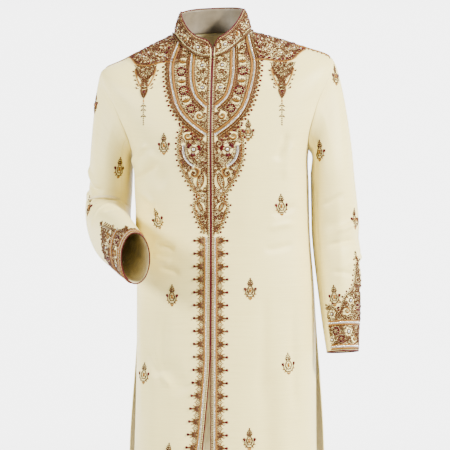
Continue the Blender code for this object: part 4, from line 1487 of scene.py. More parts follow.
def crescent(drawing):
    """A gold crescent of three rows round a maroon drop."""
    half_round = on_circle(np.linspace(math.pi * 1.02, math.pi * 1.98, 12))
    for kind, reach, lift in (("outline", 0.95, 0.25), ("bright", 0.7, 0.3), ("outline", 0.45, 0.35)):
        drawing.thread(kind, half_round * [reach, 0.75 * reach] + [0, lift])
    drawing.stamp("drop", (0, 0.36), -math.pi / 2, 0.3, 0.2)
    for x in (-0.95, -0.45, 0.45, 0.95):
        drawing.stamp("seed", (x, 0.42), 0, 0.13)
    for angle in np.linspace(math.pi * 1.1, math.pi * 1.9, 7):
        at = (1.15 * math.cos(angle), 0.9 * math.sin(angle) + 0.25)
        drawing.stamp("leaf", at, angle, 0.14, 0.07)


def snail(drawing):
    """A round scroll with two outlines and maroon beads between them."""
    outer = spiral(1.25, 30)
    drawing.thread("outline", outer)
    drawing.thread("bright", outer[3:22] * 0.72)
    for at in spaced(outer[:20] * 0.86, 13):
        drawing.stamp("seed", at, 0, 0.11)
    drawing.stamp("drop", (0, 0), 0.6, 0.22, 0.14)


def stone_flower(drawing):
    """A large stone with three groups of maroon petals round it."""
    drawing.thread("outline", on_circle(np.linspace(0, 2 * math.pi, 15)) * 0.42)
    drawing.stamp("crystal", (0, 0), 0, 0.33, height=0.2)
    for angle in (0.55, 2.65, -1.57):
        for swing, reach in ((-0.3, 0.92), (0.0, 1.04), (0.3, 0.92)):
            drawing.stamp("drop", polar(angle + swing, reach), angle + math.pi, 0.42, 0.24)
    drawing.ring("bead", around(12), 0.55, 0.06)


def set_stone(drawing):
    """A round stone in a ring of gold, with leaves and drops round it."""
    drawing.thread("outline", on_circle(np.linspace(0, 2 * math.pi, 14)) * 0.5)
    drawing.stamp("crystal", (0, 0), 0, 0.4, height=0.24)
    drawing.ring("leaf", around(3, 0.3), 0.84, 0.24, 0.1)
    drawing.ring("drop", around(3, 0.3 + math.pi / 3), 0.84, 0.22, 0.13, inward=True)


def seed_oval(drawing):
    """An oval of two threads, filled with maroon beads."""
    oval = on_circle(np.linspace(0, 2 * math.pi, 22)) * [0.44, 0.95]
    drawing.thread("outline", oval)
    drawing.thread("fine", oval * 0.78)
    for y in (-0.5, -0.25, 0.0, 0.25, 0.5):
        drawing.stamp("seed", (0.13, y), 0, 0.12)
        drawing.stamp("seed", (-0.13, y + 0.12), 0, 0.12)


def stepped_beads(drawing):
    """A small stepped heap of gold beads and leaves."""
    for x in (-0.75, -0.25, 0.25, 0.75):
        drawing.stamp("knot", (x, 0.0), 0, 0.18)
    for x in (-0.5, 0.0, 0.5):
        drawing.stamp("seed", (x, 0.36), 0, 0.17)
    for x in (-0.24, 0.24):
        drawing.stamp("knot", (x, 0.72), 0, 0.18)
    drawing.stamp("leaf", (0, 1.05), math.pi / 2, 0.26, 0.16)


# The embroidery of each part

# The share of its size that a motif of the larger kind keeps clear
MOTIF_ROOM = 0.94


def set_motifs(drawing, places):
    """Set motifs down and return the room that they take."""
    taken = []
    for motif, u, v, turn, size, flip in places:
        spot = Spot(u, v, turn, size, flip)
        drawing.put(motif, spot)
        taken.append((u, v, size * MOTIF_ROOM))
    return taken


YOKE_MOTIFS = (
    (eight_petals, 0.0630, -0.0765, 0.0, 0.0120, 1),
    (eight_petals, 0.0565, -0.1165, 0.2, 0.0120, 1),
    (eight_petals, 0.0405, -0.1540, 0.4, 0.0112, 1),
    (crescent, 0.0615, -0.0550, 0.1, 0.0085, 1),
    (crescent, 0.0610, -0.0968, 0.0, 0.0088, 1),
    (crescent, 0.0505, -0.1370, -0.3, 0.0088, 1),
    (snail, 0.0230, -0.1690, 2.2, 0.0092, 1),
    (scroll, 0.0165, -0.1865, 1.0, 0.0052, -1),
)
YOKE_HEART_MOTIFS = (
    (set_stone, 0.0205, -0.0640, 0.0, 0.0078, 1),
    (set_stone, 0.0180, -0.1110, 0.4, 0.0078, 1),
    (scroll, 0.0275, -0.0800, 1.3, 0.0060, 1),
    (drop_cluster, 0.0170, -0.0860, 0.0, 0.0048, 1),
    (scroll, 0.0260, -0.0965, 0.2, 0.0052, -1),
)
MEDALLION_MOTIFS = (
    (snail, 0.0460, -0.2105, 2.6, 0.0098, 1),
    (stone_flower, 0.0340, -0.2370, 0.15, 0.0112, 1),
    (drop_cluster, 0.0215, -0.2570, 0.0, 0.0052, 1),
    (scroll, 0.0175, -0.2260, 1.5, 0.0058, -1),
    (seed_oval, 0.0205, -0.3000, 0.25, 0.0150, 1),
    (scroll, 0.0340, -0.2850, 2.0, 0.0075, 1),
    (seed_oval, 0.0215, -0.3520, -0.45, 0.0095, 1),
    (drop_cluster, 0.0270, -0.3440, 0.0, 0.0042, 1),
    (scroll, 0.0170, -0.3750, 0.4, 0.0055, -1),
)


# For the cuffs: turn, distance back from the sleeve's end, motif and size, then the sprigs above
CUFF_MOTIFS = {
    "left": (
        (108.0, 0.0390, eight_petals, 0.0098),
        (68.0, 0.0370, set_stone, 0.0092),
        (124.0, 0.0220, set_stone, 0.0080),
        (92.0, 0.0230, eight_petals, 0.0088),
        (46.0, 0.0230, snail, 0.0085),
        (72.0, 0.0780, snail, 0.0085),
        (60.0, 0.0990, set_stone, 0.0078),
        (116.0, 0.0730, set_stone, 0.0075),
        (32.0, 0.0860, eight_petals, 0.0090),
    ),
    "right": (
        (36.0, 0.0320, eight_petals, 0.0100),
        (8.0, 0.0300, snail, 0.0095),
        (-22.0, 0.0310, set_stone, 0.0090),
        (-50.0, 0.0290, snail, 0.0090),
        (30.0, 0.0820, snail, 0.0090),
        (2.0, 0.0850, set_stone, 0.0085),
        (-26.0, 0.0840, eight_petals, 0.0095),
    ),
}
CUFF_SPIRES = {
    "left": ((105.0, 0.1090, 0.0430, 0.0),),
    "right": ((38.0, 0.1450, 0.0170, 0.0), (78.0, 0.0360, 0.0200, -0.2), (104.0, 0.0210, 0.0160, -0.2)),
}


def wide_band(drawing, line):
    """A silver strip between gold cords, doubled on its inner side, and rows of beads beside them."""
    steps = spaced(line, max(6, round(line_length(line) / 0.0035)))
    bugle_row(drawing, line, 0.0018, 0.0017, 0.0008)
    drawing.thread("fine", beside(steps, 0.0027))
    drawing.thread("bold", beside(steps, 0.0046))
    drawing.thread("fine", beside(steps, -0.0027))
    drawing.thread("thick", beside(steps, -0.0050))
    drawing.thread("outline", beside(steps, -0.0068))
    bead_row(drawing, beside(steps, 0.0046), 0.0040, 0.0015, ("seed", "knot"))
    bead_row(drawing, beside(steps, 0.0070), 0.0028, 0.00125)
    bead_row(drawing, beside(steps, -0.0087), 0.0028, 0.00125, ("seed", "knot"))
    drawing.thread("outline", beside(steps, 0.0087))


def draw_yoke(drawing, side):
    """The two silver bands down to the opening, with flowers and scrolls between them."""
    outer = curve(YOKE_OUTER, 80)
    inner = curve(YOKE_INNER, 44)
    wide_band(drawing, outer)
    wide_band(drawing, inner)
    edge_drops(drawing, beside(spaced(outer, 40), 0.0080), 0.0100, 0.0058)
    between_bands = np.concatenate([
        beside(outer, -BAND_INSIDE),
        [(FIELD_EDGE, -0.196), (FIELD_EDGE, -0.166)],
        beside(inner, BAND_OUTSIDE)[::-1],
        [(0.052, -0.030)],
    ])
    between_bands[:, 0] = np.maximum(between_bands[:, 0], FIELD_EDGE)
    taken = set_motifs(drawing, YOKE_MOTIFS)
    fill(drawing, between_bands, taken, DICE["yoke"] + (side < 0))
    heart = np.concatenate([beside(inner, -BAND_INSIDE), [(FIELD_EDGE, -0.138), (FIELD_EDGE, -0.040)]])
    heart[:, 0] = np.maximum(heart[:, 0], FIELD_EDGE)
    taken = set_motifs(drawing, YOKE_HEART_MOTIFS)
    fill(drawing, heart, taken, DICE["yoke heart"] + (side < 0))


def draw_medallion(drawing, side):
    """The pointed figure below the yoke, with its stone flower and silver arc."""
    edge = curve(MEDALLION, 120)
    drawing.thread("fine", edge[6:])
    edge_drops(drawing, edge[22:], 0.0105, 0.0052)
    taken = set_motifs(drawing, MEDALLION_MOTIFS)
    arc = curve(SILVER_ARC, 26)
    bugle_row(drawing, arc, 0.0017, 0.0021, 0.00085)
    for distance in (-0.0034, 0.0034):
        drawing.thread("outline", beside(arc, distance))
    bead_row(drawing, beside(arc, 0.0054), 0.0028, 0.0013, ("seed", "bead"))
    taken.extend((u, v, 0.0055) for u, v in arc[::2])
    swoosh = curve(((0.0330, -0.2730), (0.0230, -0.2790), (0.0290, -0.2920), (0.0400, -0.2880)), 22)
    drawing.thread("bright", swoosh)
    drawing.thread("outline", beside(swoosh, 0.0024))
    taken.extend((u, v, 0.003) for u, v in swoosh[::3])
    region = np.concatenate([edge, [(FIELD_EDGE, -0.404), (FIELD_EDGE, -0.222)]])
    fill(drawing, region, taken, DICE["medallion"] + (side < 0))


def draw_border(drawing):
    """Beads beside the whole opening, and below the medallion a braid with fans."""
    heights = np.arange(-0.045, HEM + 0.004, -0.004)
    beads = np.column_stack([np.full(len(heights), OPENING_BEADS), heights])
    bead_row(drawing, beads, 0.0036, 0.0016, ("knot", "seed"))
    low = heights[heights < BORDER_TOP]
    strip = np.column_stack([np.full(len(low), BORDER_BRAID), low])
    bugle_row(drawing, strip, 0.0019, 0.0014, 0.0008)
    cord = np.column_stack([np.full(len(low), BORDER_CORD), low])
    drawing.thread("thick", cord - [0.0006, 0])
    bead_row(drawing, cord + [0.0018, 0], 0.0028, 0.0013)
    drawing.thread("outline", beads[heights >= BORDER_TOP] + [0.0024, 0])
    for level in np.arange(BORDER_FAN_TOP, HEM + 0.012, -BORDER_FAN_PITCH):
        drawing.put(fan, Spot(BORDER_FAN_ROOT, level, -math.pi / 2, BORDER_FAN))
        middle = level - BORDER_FAN_PITCH / 2
        if middle > HEM + 0.008:
            drawing.put(stepped_beads, Spot(BORDER_STEP_ROOT, middle, -math.pi / 2, BORDER_STEP))


def draw_pendant(drawing, side):
    """Crossing cords that hang from the shoulder, a bulb below them and a tail of beads."""
    out, level = PENDANTS[side]
    for swing in (-1, 1):
        cord = curve((
            (out - swing * 0.021, level + 0.052),
            (out - swing * 0.014, level + 0.036),
            (out + swing * 0.003, level + 0.022),
            (out + swing * 0.006, level + 0.010),
        ), 16)
        for distance in (-0.0011, 0.0011):
            drawing.thread("outline", beside(cord, distance))
        rim = curve((
            (out - swing * 0.023, level + 0.050),
            (out - swing * 0.0185, level + 0.034),
            (out - swing * 0.0125, level + 0.020),
            (out - swing * 0.0070, level + 0.010),
        ), 14)
        drawing.thread("bright", rim)
        for at in rim[1:11:3]:
            drawing.stamp("drop", at - [swing * 0.0045, 0.002], math.pi / 2 + swing * 0.9, 0.0028, 0.0019)
        for kind, aside, rise, lean, length, width in (
            ("drop", 0.0165, 0.009, 0.5, 0.0032, 0.0019),
            ("leaf", 0.0135, 0.013, 0.7, 0.0028, 0.0012),
        ):
            turn = math.pi / 2 + swing * lean
            drawing.stamp(kind, (out - swing * aside, level + rise), turn, length, width)
        drawing.stamp("knot", (out - swing * 0.0125, level + 0.007), 0, 0.0013)
    heart = np.array(((-0.028, 0.064), (-0.004, 0.012), (0.004, 0.012), (0.028, 0.064))) + [out, level]
    fill(drawing, heart, [], DICE["pendant"], DENSE_FILLING)
    rim = np.array(((-0.009, 0.009), (0, 0.0075), (0.009, 0.009))) + [out, level]
    drawing.thread("outline", rim)
    for reach in (1.0, 0.72, 0.44):
        bulb = tear(20) * [0.0125, 0.0078] * reach
        turned = np.column_stack([bulb[:, 1], -bulb[:, 0]])
        drawing.thread("outline", np.vstack([turned, turned[:1]]) + [out, level - 0.002])
    drawing.stamp("drop", (out, level - 0.0005), -math.pi / 2, 0.0042, 0.0022)
    drawing.stamp("leaf", (out, level - 0.019), math.pi / 2, 0.0045, 0.0016)
    for drop in range(11):
        at = level - 0.025 - drop * 0.0042
        kind = "knot" if drop % 3 else "seed"
        drawing.stamp(kind, (out, at), 0, 0.0017)
        if drop in (1, 3, 6):
            for swing in (-1, 1):
                drawing.stamp("frond", (out + swing * 0.0036, at), math.pi / 2 + swing * 0.9, 0.0034, 0.0015)


def draw_shoulder(drawing, side, taken):
    """Scrolls along the shoulder seam that narrow to one thick cord."""
    region = curve(SHOULDER_BAND, 60)
    fill(drawing, region, taken, DICE["shoulder"] + (side < 0))
    lower = curve(SHOULDER_BAND[3:10], 40)
    drawing.thread("bright", lower)
    edge_drops(drawing, lower[::-1], 0.0098, 0.0050)
    cord = curve(SHOULDER_CORD, 26)
    drawing.thread("thick", cord)
    drawing.thread("thick", beside(cord, 0.0026))
    for at in spaced(cord, 9):
        drawing.stamp("drop", at - [0.0, 0.0052], math.pi / 2, 0.0028, 0.0017)


def draw_collar(drawing, places, height):
    """Scrolls and stones inside a gold line, all round the collar."""
    near = np.linspace(places[0], places[-1], 150)
    top = np.interp(near, places, height) - COLLAR_FIELD_EDGE
    far_end = places[-1] - COLLAR_FIELD_EDGE
    held = (near > COLLAR_FIELD_EDGE) & (near < far_end)
    upper = np.column_stack([near, np.maximum(top, 0.010)])[held]
    foot = np.array([(far_end, COLLAR_FIELD_FOOT), (COLLAR_FIELD_EDGE, COLLAR_FIELD_FOOT)])
    rim = np.vstack([foot[1:], upper, foot[:1]])
    rim = spaced(rim, 230)
    drawing.thread("bold", rim)
    bead_row(drawing, rim + [0, 0.0023], 0.0034, 0.0013, ("seed", "bead"))
    lower = np.column_stack([near[held], np.full(held.sum(), COLLAR_FIELD_FOOT - 0.0022)])
    bead_row(drawing, lower, 0.0036, 0.0015, ("knot", "seed"))
    taken = []
    for i, u in enumerate(np.arange(0.024, places[-1] - 0.020, 0.0385)):
        level = 0.6 * float(np.interp(u, places, height)) - 0.004
        kind = (set_stone, snail)[i % 2]
        taken += set_motifs(drawing, ((kind, u, level, 0.3 * i, 0.0072, 1),))
    region = np.vstack([foot, upper])
    fill(drawing, region, taken, DICE["collar"])


def draw_cuff(drawing, name, reach):
    """Silver strips round the cuff with flowers and scrolls between and above them."""
    def scaled(outline):
        return np.array([(math.radians(turn) * reach, back) for turn, back in outline])

    spans = CUFF_BRAID_SPANS[name]
    for back, (start, end) in zip(CUFF_BRAIDS, spans):
        line = np.column_stack([np.radians(np.linspace(start, end, 60)) * reach, np.full(60, back)])
        bugle_row(drawing, line, 0.0017, 0.0018, 0.00085)
        for side in (-1, 1):
            drawing.thread("thick", beside(line[::2], side * 0.0033))
        bead_row(drawing, beside(line, -0.0052), 0.0028, 0.0012)
        if back > CUFF_BRAIDS[0]:
            bead_row(drawing, beside(line, 0.0052), 0.0028, 0.0012)
    field = scaled(CUFF_FIELDS[name])
    crest = scaled(CUFF_CRESTS[name])
    taken = []
    for turn, back, motif, size in CUFF_MOTIFS[name]:
        taken += set_motifs(drawing, ((motif, math.radians(turn) * reach, back, 0.4, size, 1),))
    fill(drawing, field, taken, DICE["cuff"] + (name == "right"), DENSE_FILLING)
    fill(drawing, crest, taken, DICE["cuff crest"] + (name == "right"), DENSE_FILLING)
    rim = curve(crest[1:-1], 60)
    drawing.thread("outline", spaced(rim, 90))
    edge_drops(drawing, rim[::-1], 0.0110, 0.0048)
    for turn, back, size, lean in CUFF_SPIRES[name]:
        drawing.put(butta, Spot(math.radians(turn) * reach, back, lean, size))


# Finishes


def new_material(name):
    """A material with its node tree and main shader."""
    material = bpy.data.materials.new(name)
    material.use_nodes = True
    tree = material.node_tree
    return material, tree, tree.nodes["Principled BSDF"]


def set_inputs(tree, node, values):
    """Set a node's inputs to numbers and colours, or link them to sockets."""
    for name, value in values.items():
        if isinstance(value, bpy.types.NodeSocket):
            tree.links.new(value, node.inputs[name])
        else:
            node.inputs[name].default_value = value


def add_node(tree, kind, values):
    """A node of one kind with its inputs set."""
    node = tree.nodes.new("ShaderNode" + kind)
    set_inputs(tree, node, values)
    return node


def cloth_place(tree, across, along, swing=0.0):
    """The place in the cloth, in metres, scaled across and along."""
    source = add_node(tree, "UVMap", {})
    source.uv_map = "cloth"
    size = {"Vector": source.outputs["UV"], "Scale": (across, along, 1), "Rotation": (0, 0, swing)}
    return add_node(tree, "Mapping", size).outputs["Vector"]


def noise(tree, vector, scale=1.0, detail=2.0, rough=0.5):
    """Soft noise at a place."""
    values = {"Vector": vector, "Scale": scale, "Detail": detail, "Roughness": rough}
    return add_node(tree, "TexNoise", values).outputs["Fac"]


def step(tree, operation, *values):
    """One step of arithmetic on sockets and numbers."""
    node = add_node(tree, "Math", {})
    node.operation = operation
    set_inputs(tree, node, dict(enumerate(values)))
    return node.outputs[0]


def waves(tree, vector, direction):
    """Even ridges, one for each unit of length."""
    node = add_node(tree, "TexWave", {"Vector": vector, "Scale": math.pi / 10})
    node.wave_type = "BANDS"
    node.bands_direction = direction
    return node.outputs["Fac"]


def ramp(tree, factor, stops):
    """A run of colours over a factor."""
    node = add_node(tree, "ValToRGB", {"Fac": factor})
    band = node.color_ramp
    while len(band.elements) < len(stops):
        band.elements.new(0.5)
    for element, (place, colour) in zip(band.elements, stops):
        element.position = place
        element.color = (*colour, 1)
    return node.outputs["Color"]


def spread(tree, factor, low, high, start=0.0):
    """A factor that runs from its start to 1, spread between two values."""
    values = {"Value": factor, "From Min": start, "To Min": low, "To Max": high}
    return add_node(tree, "MapRange", values).outputs["Result"]


def together(tree, first, second, share):
    """Two factors mixed."""
    return add_node(tree, "Mix", {"Factor": share, "A": first, "B": second}).outputs["Result"]


def relief(tree, height, strength, depth):
    """The direction of a surface with fine relief."""
    values = {"Height": height, "Strength": strength, "Distance": depth}
    return add_node(tree, "Bump", values).outputs["Normal"]


def own_place(tree):
    """The place on the object itself."""
    return add_node(tree, "TexCoord", {}).outputs["Object"]


def tint(colour, share):
    """A colour made darker or lighter by a share."""
    return tuple(min(1.0, part * share) for part in colour)


def slubbed_silk(name, colour):
    """Plain-woven raw silk, whose uneven weft makes fine streaks across the cloth."""
    slub = bpy.context.scene.sherwani_cloth.slub
    material, tree, shader = new_material(name)
    streaks = noise(tree, cloth_place(tree, 9, 420), 1.0, 4.0, 0.65)
    threads = noise(tree, cloth_place(tree, 30, 1500), 1.0, 3.0, 0.7)
    clouds = noise(tree, cloth_place(tree, 5, 9), 1.0, 2.0)
    weft = together(tree, streaks, threads, 0.45)
    tone = together(tree, weft, clouds, 0.25)
    dark = (colour[0] * (1 - 0.8 * slub), colour[1] * (1 - slub), colour[2] * (1 - 1.6 * slub))
    warp = waves(tree, cloth_place(tree, 1800, 1), "X")
    picks = waves(tree, cloth_place(tree, 1, 1500), "Y")
    weave = together(tree, warp, picks, 0.5)
    set_inputs(tree, shader, {
        "Base Color": ramp(tree, tone, ((0.30, dark), (0.52, colour), (0.75, tint(colour, 1 + 0.4 * slub)))),
        "Roughness": spread(tree, weft, 0.34, 0.58),
        "Specular IOR Level": 0.42,
        "Sheen Weight": 0.25,
        "Sheen Roughness": 0.4,
        "Normal": relief(tree, together(tree, weft, weave, 0.3), 0.35, 0.0006),
    })
    return material


def satin(name, colour, rough, ribs):
    """Smooth cloth with fine slanting ribs, as bias piping and lining have."""
    material, tree, shader = new_material(name)
    slanting = waves(tree, cloth_place(tree, ribs, ribs * 0.004, 0.5), "X")
    clouds = noise(tree, cloth_place(tree, 60, 60), 1.0, 3.0)
    tone = together(tree, clouds, slanting, 0.4)
    set_inputs(tree, shader, {
        "Base Color": ramp(tree, tone, ((0.25, tint(colour, 0.72)), (0.75, tint(colour, 1.22)))),
        "Roughness": spread(tree, clouds, rough - 0.06, rough + 0.1),
        "Specular IOR Level": 0.2,
        "Normal": relief(tree, tone, 0.3, 0.0003),
    })
    return material


def metal_thread(name, colour, rough, metallic, twist):
    """Wrapped metal thread, whose turns slant round the cord."""
    material, tree, shader = new_material(name)
    source = add_node(tree, "UVMap", {})
    source.uv_map = "cloth"
    parts = add_node(tree, "SeparateXYZ", {"Vector": source.outputs["UV"]})
    turns = step(tree, "MULTIPLY_ADD", parts.outputs["X"], twist, parts.outputs["Y"])
    ridge = step(tree, "SINE", step(tree, "MULTIPLY", turns, 2 * math.pi))
    height = spread(tree, ridge, 0, 1, -1)
    wear = noise(tree, own_place(tree), 420, 2.0)
    tone = together(tree, height, wear, 0.55)
    stops = ((0.2, tint(colour, 0.55)), (0.5, colour), (0.8, tint(colour, 1.35)))
    set_inputs(tree, shader, {
        "Base Color": ramp(tree, tone, stops),
        "Roughness": spread(tree, wear, rough - 0.08, rough + 0.14),
        "Metallic": metallic,
        "Normal": relief(tree, height, 0.5, 0.0004),
    })
    return material


def glass_stone(name, colour, rough):
    """Small glass stones and beads, each a little lighter or darker than the next."""
    material, tree, shader = new_material(name)
    lots = noise(tree, own_place(tree), 260, 1.0)
    stops = ((0.3, tint(colour, 0.5)), (0.55, colour), (0.8, tint(colour, 1.9)))
    set_inputs(tree, shader, {
        "Base Color": ramp(tree, lots, stops),
        "Roughness": spread(tree, lots, rough, rough + 0.12),
        "Specular IOR Level": 0.18,
    })
    return material


def floor_paint(name, colour):
    """Matt pale floor with a faint unevenness."""
    material, tree, shader = new_material(name)
    clouds = noise(tree, own_place(tree), 3.0, 3.0)
    stops = ((0.3, tint(colour, 0.97)), (0.7, colour))
    set_inputs(tree, shader, {"Base Color": ramp(tree, clouds, stops), "Roughness": 0.85})
    return material


# Each finish: its maker, the settings and the colour among them, and the maker's other values
FINISHES = {
    "ivory silk": (slubbed_silk, "sherwani_cloth", "silk_colour"),
    "cream lining": (satin, "sherwani_cloth", "lining_colour", 0.42, 900),
    # The collar's inside is the lining darkened as painted shade for the hollow of the collar
    "grey lining": (satin, "sherwani_cloth", "collar_lining_colour", 0.42, 900),
    "maroon piping": (satin, "sherwani_cloth", "piping_colour", 0.45, 1400),
    "gold thread": (metal_thread, "sherwani_handwork", "gold_colour", 0.40, 0.55, 700),
    # Gold cord darkened to brown: painted shade along the raised outlines
    "gold cord": (metal_thread, "sherwani_handwork", "cord_colour", 0.42, 0.55, 260),
    "silver bugles": (metal_thread, "sherwani_handwork", "silver_colour", 0.24, 0.75, 120),
    "maroon stones": (glass_stone, "sherwani_handwork", "stone_colour", 0.22),
}


def finish(name):
    """The named finish, made once with the colours of the settings."""
    found = bpy.data.materials.get(name)
    if found:
        return found
    make, group, colour, *values = FINISHES[name]
    settings = getattr(bpy.context.scene, group)
    return make(name, tuple(getattr(settings, colour)), *values)


# Settings


class SherwaniCloth(bpy.types.PropertyGroup):
    """The cloth's colours and its slub"""

    silk_colour: bpy.props.FloatVectorProperty(
        name="Silk", description="Colour of the silk", subtype="COLOR", size=3,
        min=0, max=1, default=(0.83, 0.71, 0.280),
    )
    lining_colour: bpy.props.FloatVectorProperty(
        name="Lining", description="Colour of the inside", subtype="COLOR", size=3,
        min=0, max=1, default=(0.70, 0.60, 0.34),
    )
    # Dark as painted shade in the hollow of the collar; the lining elsewhere is cream
    collar_lining_colour: bpy.props.FloatVectorProperty(
        name="Collar lining", description="Colour of the collar's inside", subtype="COLOR", size=3,
        min=0, max=1, default=(0.16, 0.13, 0.085),
    )
    piping_colour: bpy.props.FloatVectorProperty(
        name="Piping", description="Colour of the piping and the underlap", subtype="COLOR", size=3,
        min=0, max=1, default=(0.062, 0.0008, 0.0030),
    )
    slub: bpy.props.FloatProperty(
        name="Slub", description="How much the weft's streaks stand out", subtype="FACTOR",
        min=0, max=0.4, default=0.13,
    )


class SherwaniHandwork(bpy.types.PropertyGroup):
    """The embroidery's colours and sizes"""

    gold_colour: bpy.props.FloatVectorProperty(
        name="Gold thread", description="Colour of the fine gold thread", subtype="COLOR", size=3,
        min=0, max=1, default=(0.26, 0.114, 0.0115),
    )
    # Dark brown as painted shade; the outlining cord itself is gold
    cord_colour: bpy.props.FloatVectorProperty(
        name="Gold cord", description="Colour of the outlining gold cord", subtype="COLOR", size=3,
        min=0, max=1, default=(0.082, 0.0275, 0.0026),
    )
    silver_colour: bpy.props.FloatVectorProperty(
        name="Silver", description="Colour of the bugle beads", subtype="COLOR", size=3,
        min=0, max=1, default=(0.62, 0.60, 0.55),
    )
    stone_colour: bpy.props.FloatVectorProperty(
        name="Stones", description="Colour of the stones and drops", subtype="COLOR", size=3,
        min=0, max=1, default=(0.058, 0.0003, 0.0011),
    )
    thread: bpy.props.FloatProperty(
        name="Thread", description="Radius of the outline cords", unit="LENGTH",
        min=0.0003, max=0.002, default=0.0009,
    )


class SherwaniStage(bpy.types.PropertyGroup):
    """The floor, the lights and the camera"""

    floor_level: bpy.props.FloatProperty(
        name="Floor", description="Height of the floor", unit="LENGTH", default=-1.45,
    )
    floor_radius: bpy.props.FloatProperty(
        name="Floor radius", description="Radius of the floor", unit="LENGTH", default=2.2,
    )
    floor_colour: bpy.props.FloatVectorProperty(
        name="Floor colour", description="Colour of the floor", subtype="COLOR", size=3,
        min=0, max=1, default=(0.86, 0.86, 0.85),
    )
    light: bpy.props.FloatProperty(
        name="Light", description="Strength of the studio lights", subtype="FACTOR",
        min=0, max=5, default=1.0,
    )
    camera_turn: bpy.props.FloatProperty(
        name="Camera turn", description="Turn of the camera from straight ahead", subtype="ANGLE",
        default=math.radians(5),
    )
    camera_distance: bpy.props.FloatProperty(
        name="Camera distance", description="Distance of the camera", unit="LENGTH", default=2.8,
    )


# Cloth pieces


def cloth_materials(inside="cream lining"):
    """The finishes of a wall's outside and inside."""
    return [finish("ivory silk"), finish(inside)]


class SHERWANI_OT_fronts(bpy.types.Operator):
    """Make the two fronts, with their folds and creases"""

    bl_idname = "sherwani.fronts"
    bl_label = "Fronts"

    def execute(self, context):
        for name, side in (("front_left", 1), ("front_right", -1)):
            outer, facing, lengths = panel_grid(lambda level: front_row(level, side), "front", False)
            inner = outer - facing * WALL
            along = run_lengths(outer)[:, None]
            make_wall(name, outer, inner, side * lengths, along, cloth_materials())
        return {"FINISHED"}


class SHERWANI_OT_back(bpy.types.Operator):
    """Make the back in one piece"""

    bl_idname = "sherwani.back"
    bl_label = "Back"

    def execute(self, context):
        outer, facing, lengths = panel_grid(back_row, "back", True)
        inner = outer - facing * WALL
        middle = lengths - lengths[:, -1:] / 2
        make_wall("back", outer, inner, middle, run_lengths(outer)[:, None], cloth_materials())
        return {"FINISHED"}


class SHERWANI_OT_sleeves(bpy.types.Operator):
    """Make both two-piece sleeves, one hanging and one bent"""

    bl_idname = "sherwani.sleeves"
    bl_label = "Sleeves"

    def execute(self, context):
        arms = (
            ("left", 1, LEFT_ARM, LEFT_SLEEVE_FOLDS + LEFT_SLEEVE_CREASES),
            ("right", -1, RIGHT_ARM, RIGHT_SLEEVE_FOLDS + RIGHT_SLEEVE_CREASES),
        )
        for name, side, table, folds in arms:
            upper = sleeve_turns(BACK_SEAM - 360, FRONT_SEAM, table)
            under = sleeve_turns(FRONT_SEAM, BACK_SEAM, table)
            whole = np.concatenate([upper, under])
            outer = sleeve_rows(table, side, whole, folds)
            normals = sleeve_normals(outer, table, side, whole, folds)
            inner = outer - normals * WALL
            split = len(upper)
            along = run_lengths(outer)[:, None]
            across = np.radians(whole) * table[1].half_depth
            for part, chosen in (("_upper", slice(None, split)), ("_under", slice(split, None))):
                title = "sleeve_" + name + part
                outside = outer[:, chosen] + normals[:, chosen] * self.seam_roll(outer[:, chosen])
                make_wall(title, outside, inner[:, chosen], across[chosen], along, cloth_materials())
            LINES["sleeve_" + name] = (outer, normals, whole)
        return {"FINISHED"}

    def seam_roll(self, grid):
        """How far a sleeve piece's long edges and its armhole edge roll inward."""
        run = run_lengths(grid.swapaxes(0, 1))
        near_side = np.exp(-((np.minimum(run, run[-1] - run) / EDGE_REACH) ** 2))
        down = run_lengths(grid)
        near_top = np.exp(-((down / EDGE_REACH) ** 2))
        return -EDGE_ROLL * np.maximum(near_side[None, :], near_top[:, None])[:, :, None]


class SHERWANI_OT_collar(bpy.types.Operator):
    """Make the stand collar with its rounded front corners"""

    bl_idname = "sherwani.collar"
    bl_label = "Collar"

    def execute(self, context):
        outer, outward, places, height = collar_grid()
        inner = outer - outward[None] * COLLAR_WALL
        share = np.linspace(0, 1, COLLAR_ROWS + 1)[:, None]
        # The collar's inside takes the lining darkened as painted shade
        make_wall("collar", outer, inner, places, share * height, cloth_materials("grey lining"))
        LINES["collar"] = (outer, outward, places, height)
        return {"FINISHED"}


def front_edge_line(level_list, side, distance):
    """Points and normals along one side of the opening, at a distance from it."""
    points = []
    normals = []
    for level in level_list:
        start = float(turn_at_x(0.0, level))
        away = distance + (parting(level) if side < 0 else 0)
        turns, _ = arc_turns(start, side * 60, level, [away])
        point, normal = body_points(turns, level, "front")
        points.append(point[0])
        normals.append(normal[0])
    return np.array(points), np.array(normals)


def even_line(points, normals, step):
    """A line's points and normals at even steps."""
    run = travelled(points)
    places = np.linspace(0, run[-1], max(2, round(run[-1] / step) + 1))
    evened = [np.interp(places, run, points[:, axis]) for axis in range(3)]
    facing = [np.interp(places, run, normals[:, axis]) for axis in range(3)]
    return np.stack(evened, axis=1), unit(np.stack(facing, axis=1))


def make_piping(name, points, normals, round_way=False):
    """Maroon piping along a line of centres."""
    work = Handwork()
    add_cord(work, points, normals, PIPING, sides=10, round_way=round_way)
    piece = work.finish(name, finish("maroon piping"), "piping")
    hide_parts(name)
    return piece


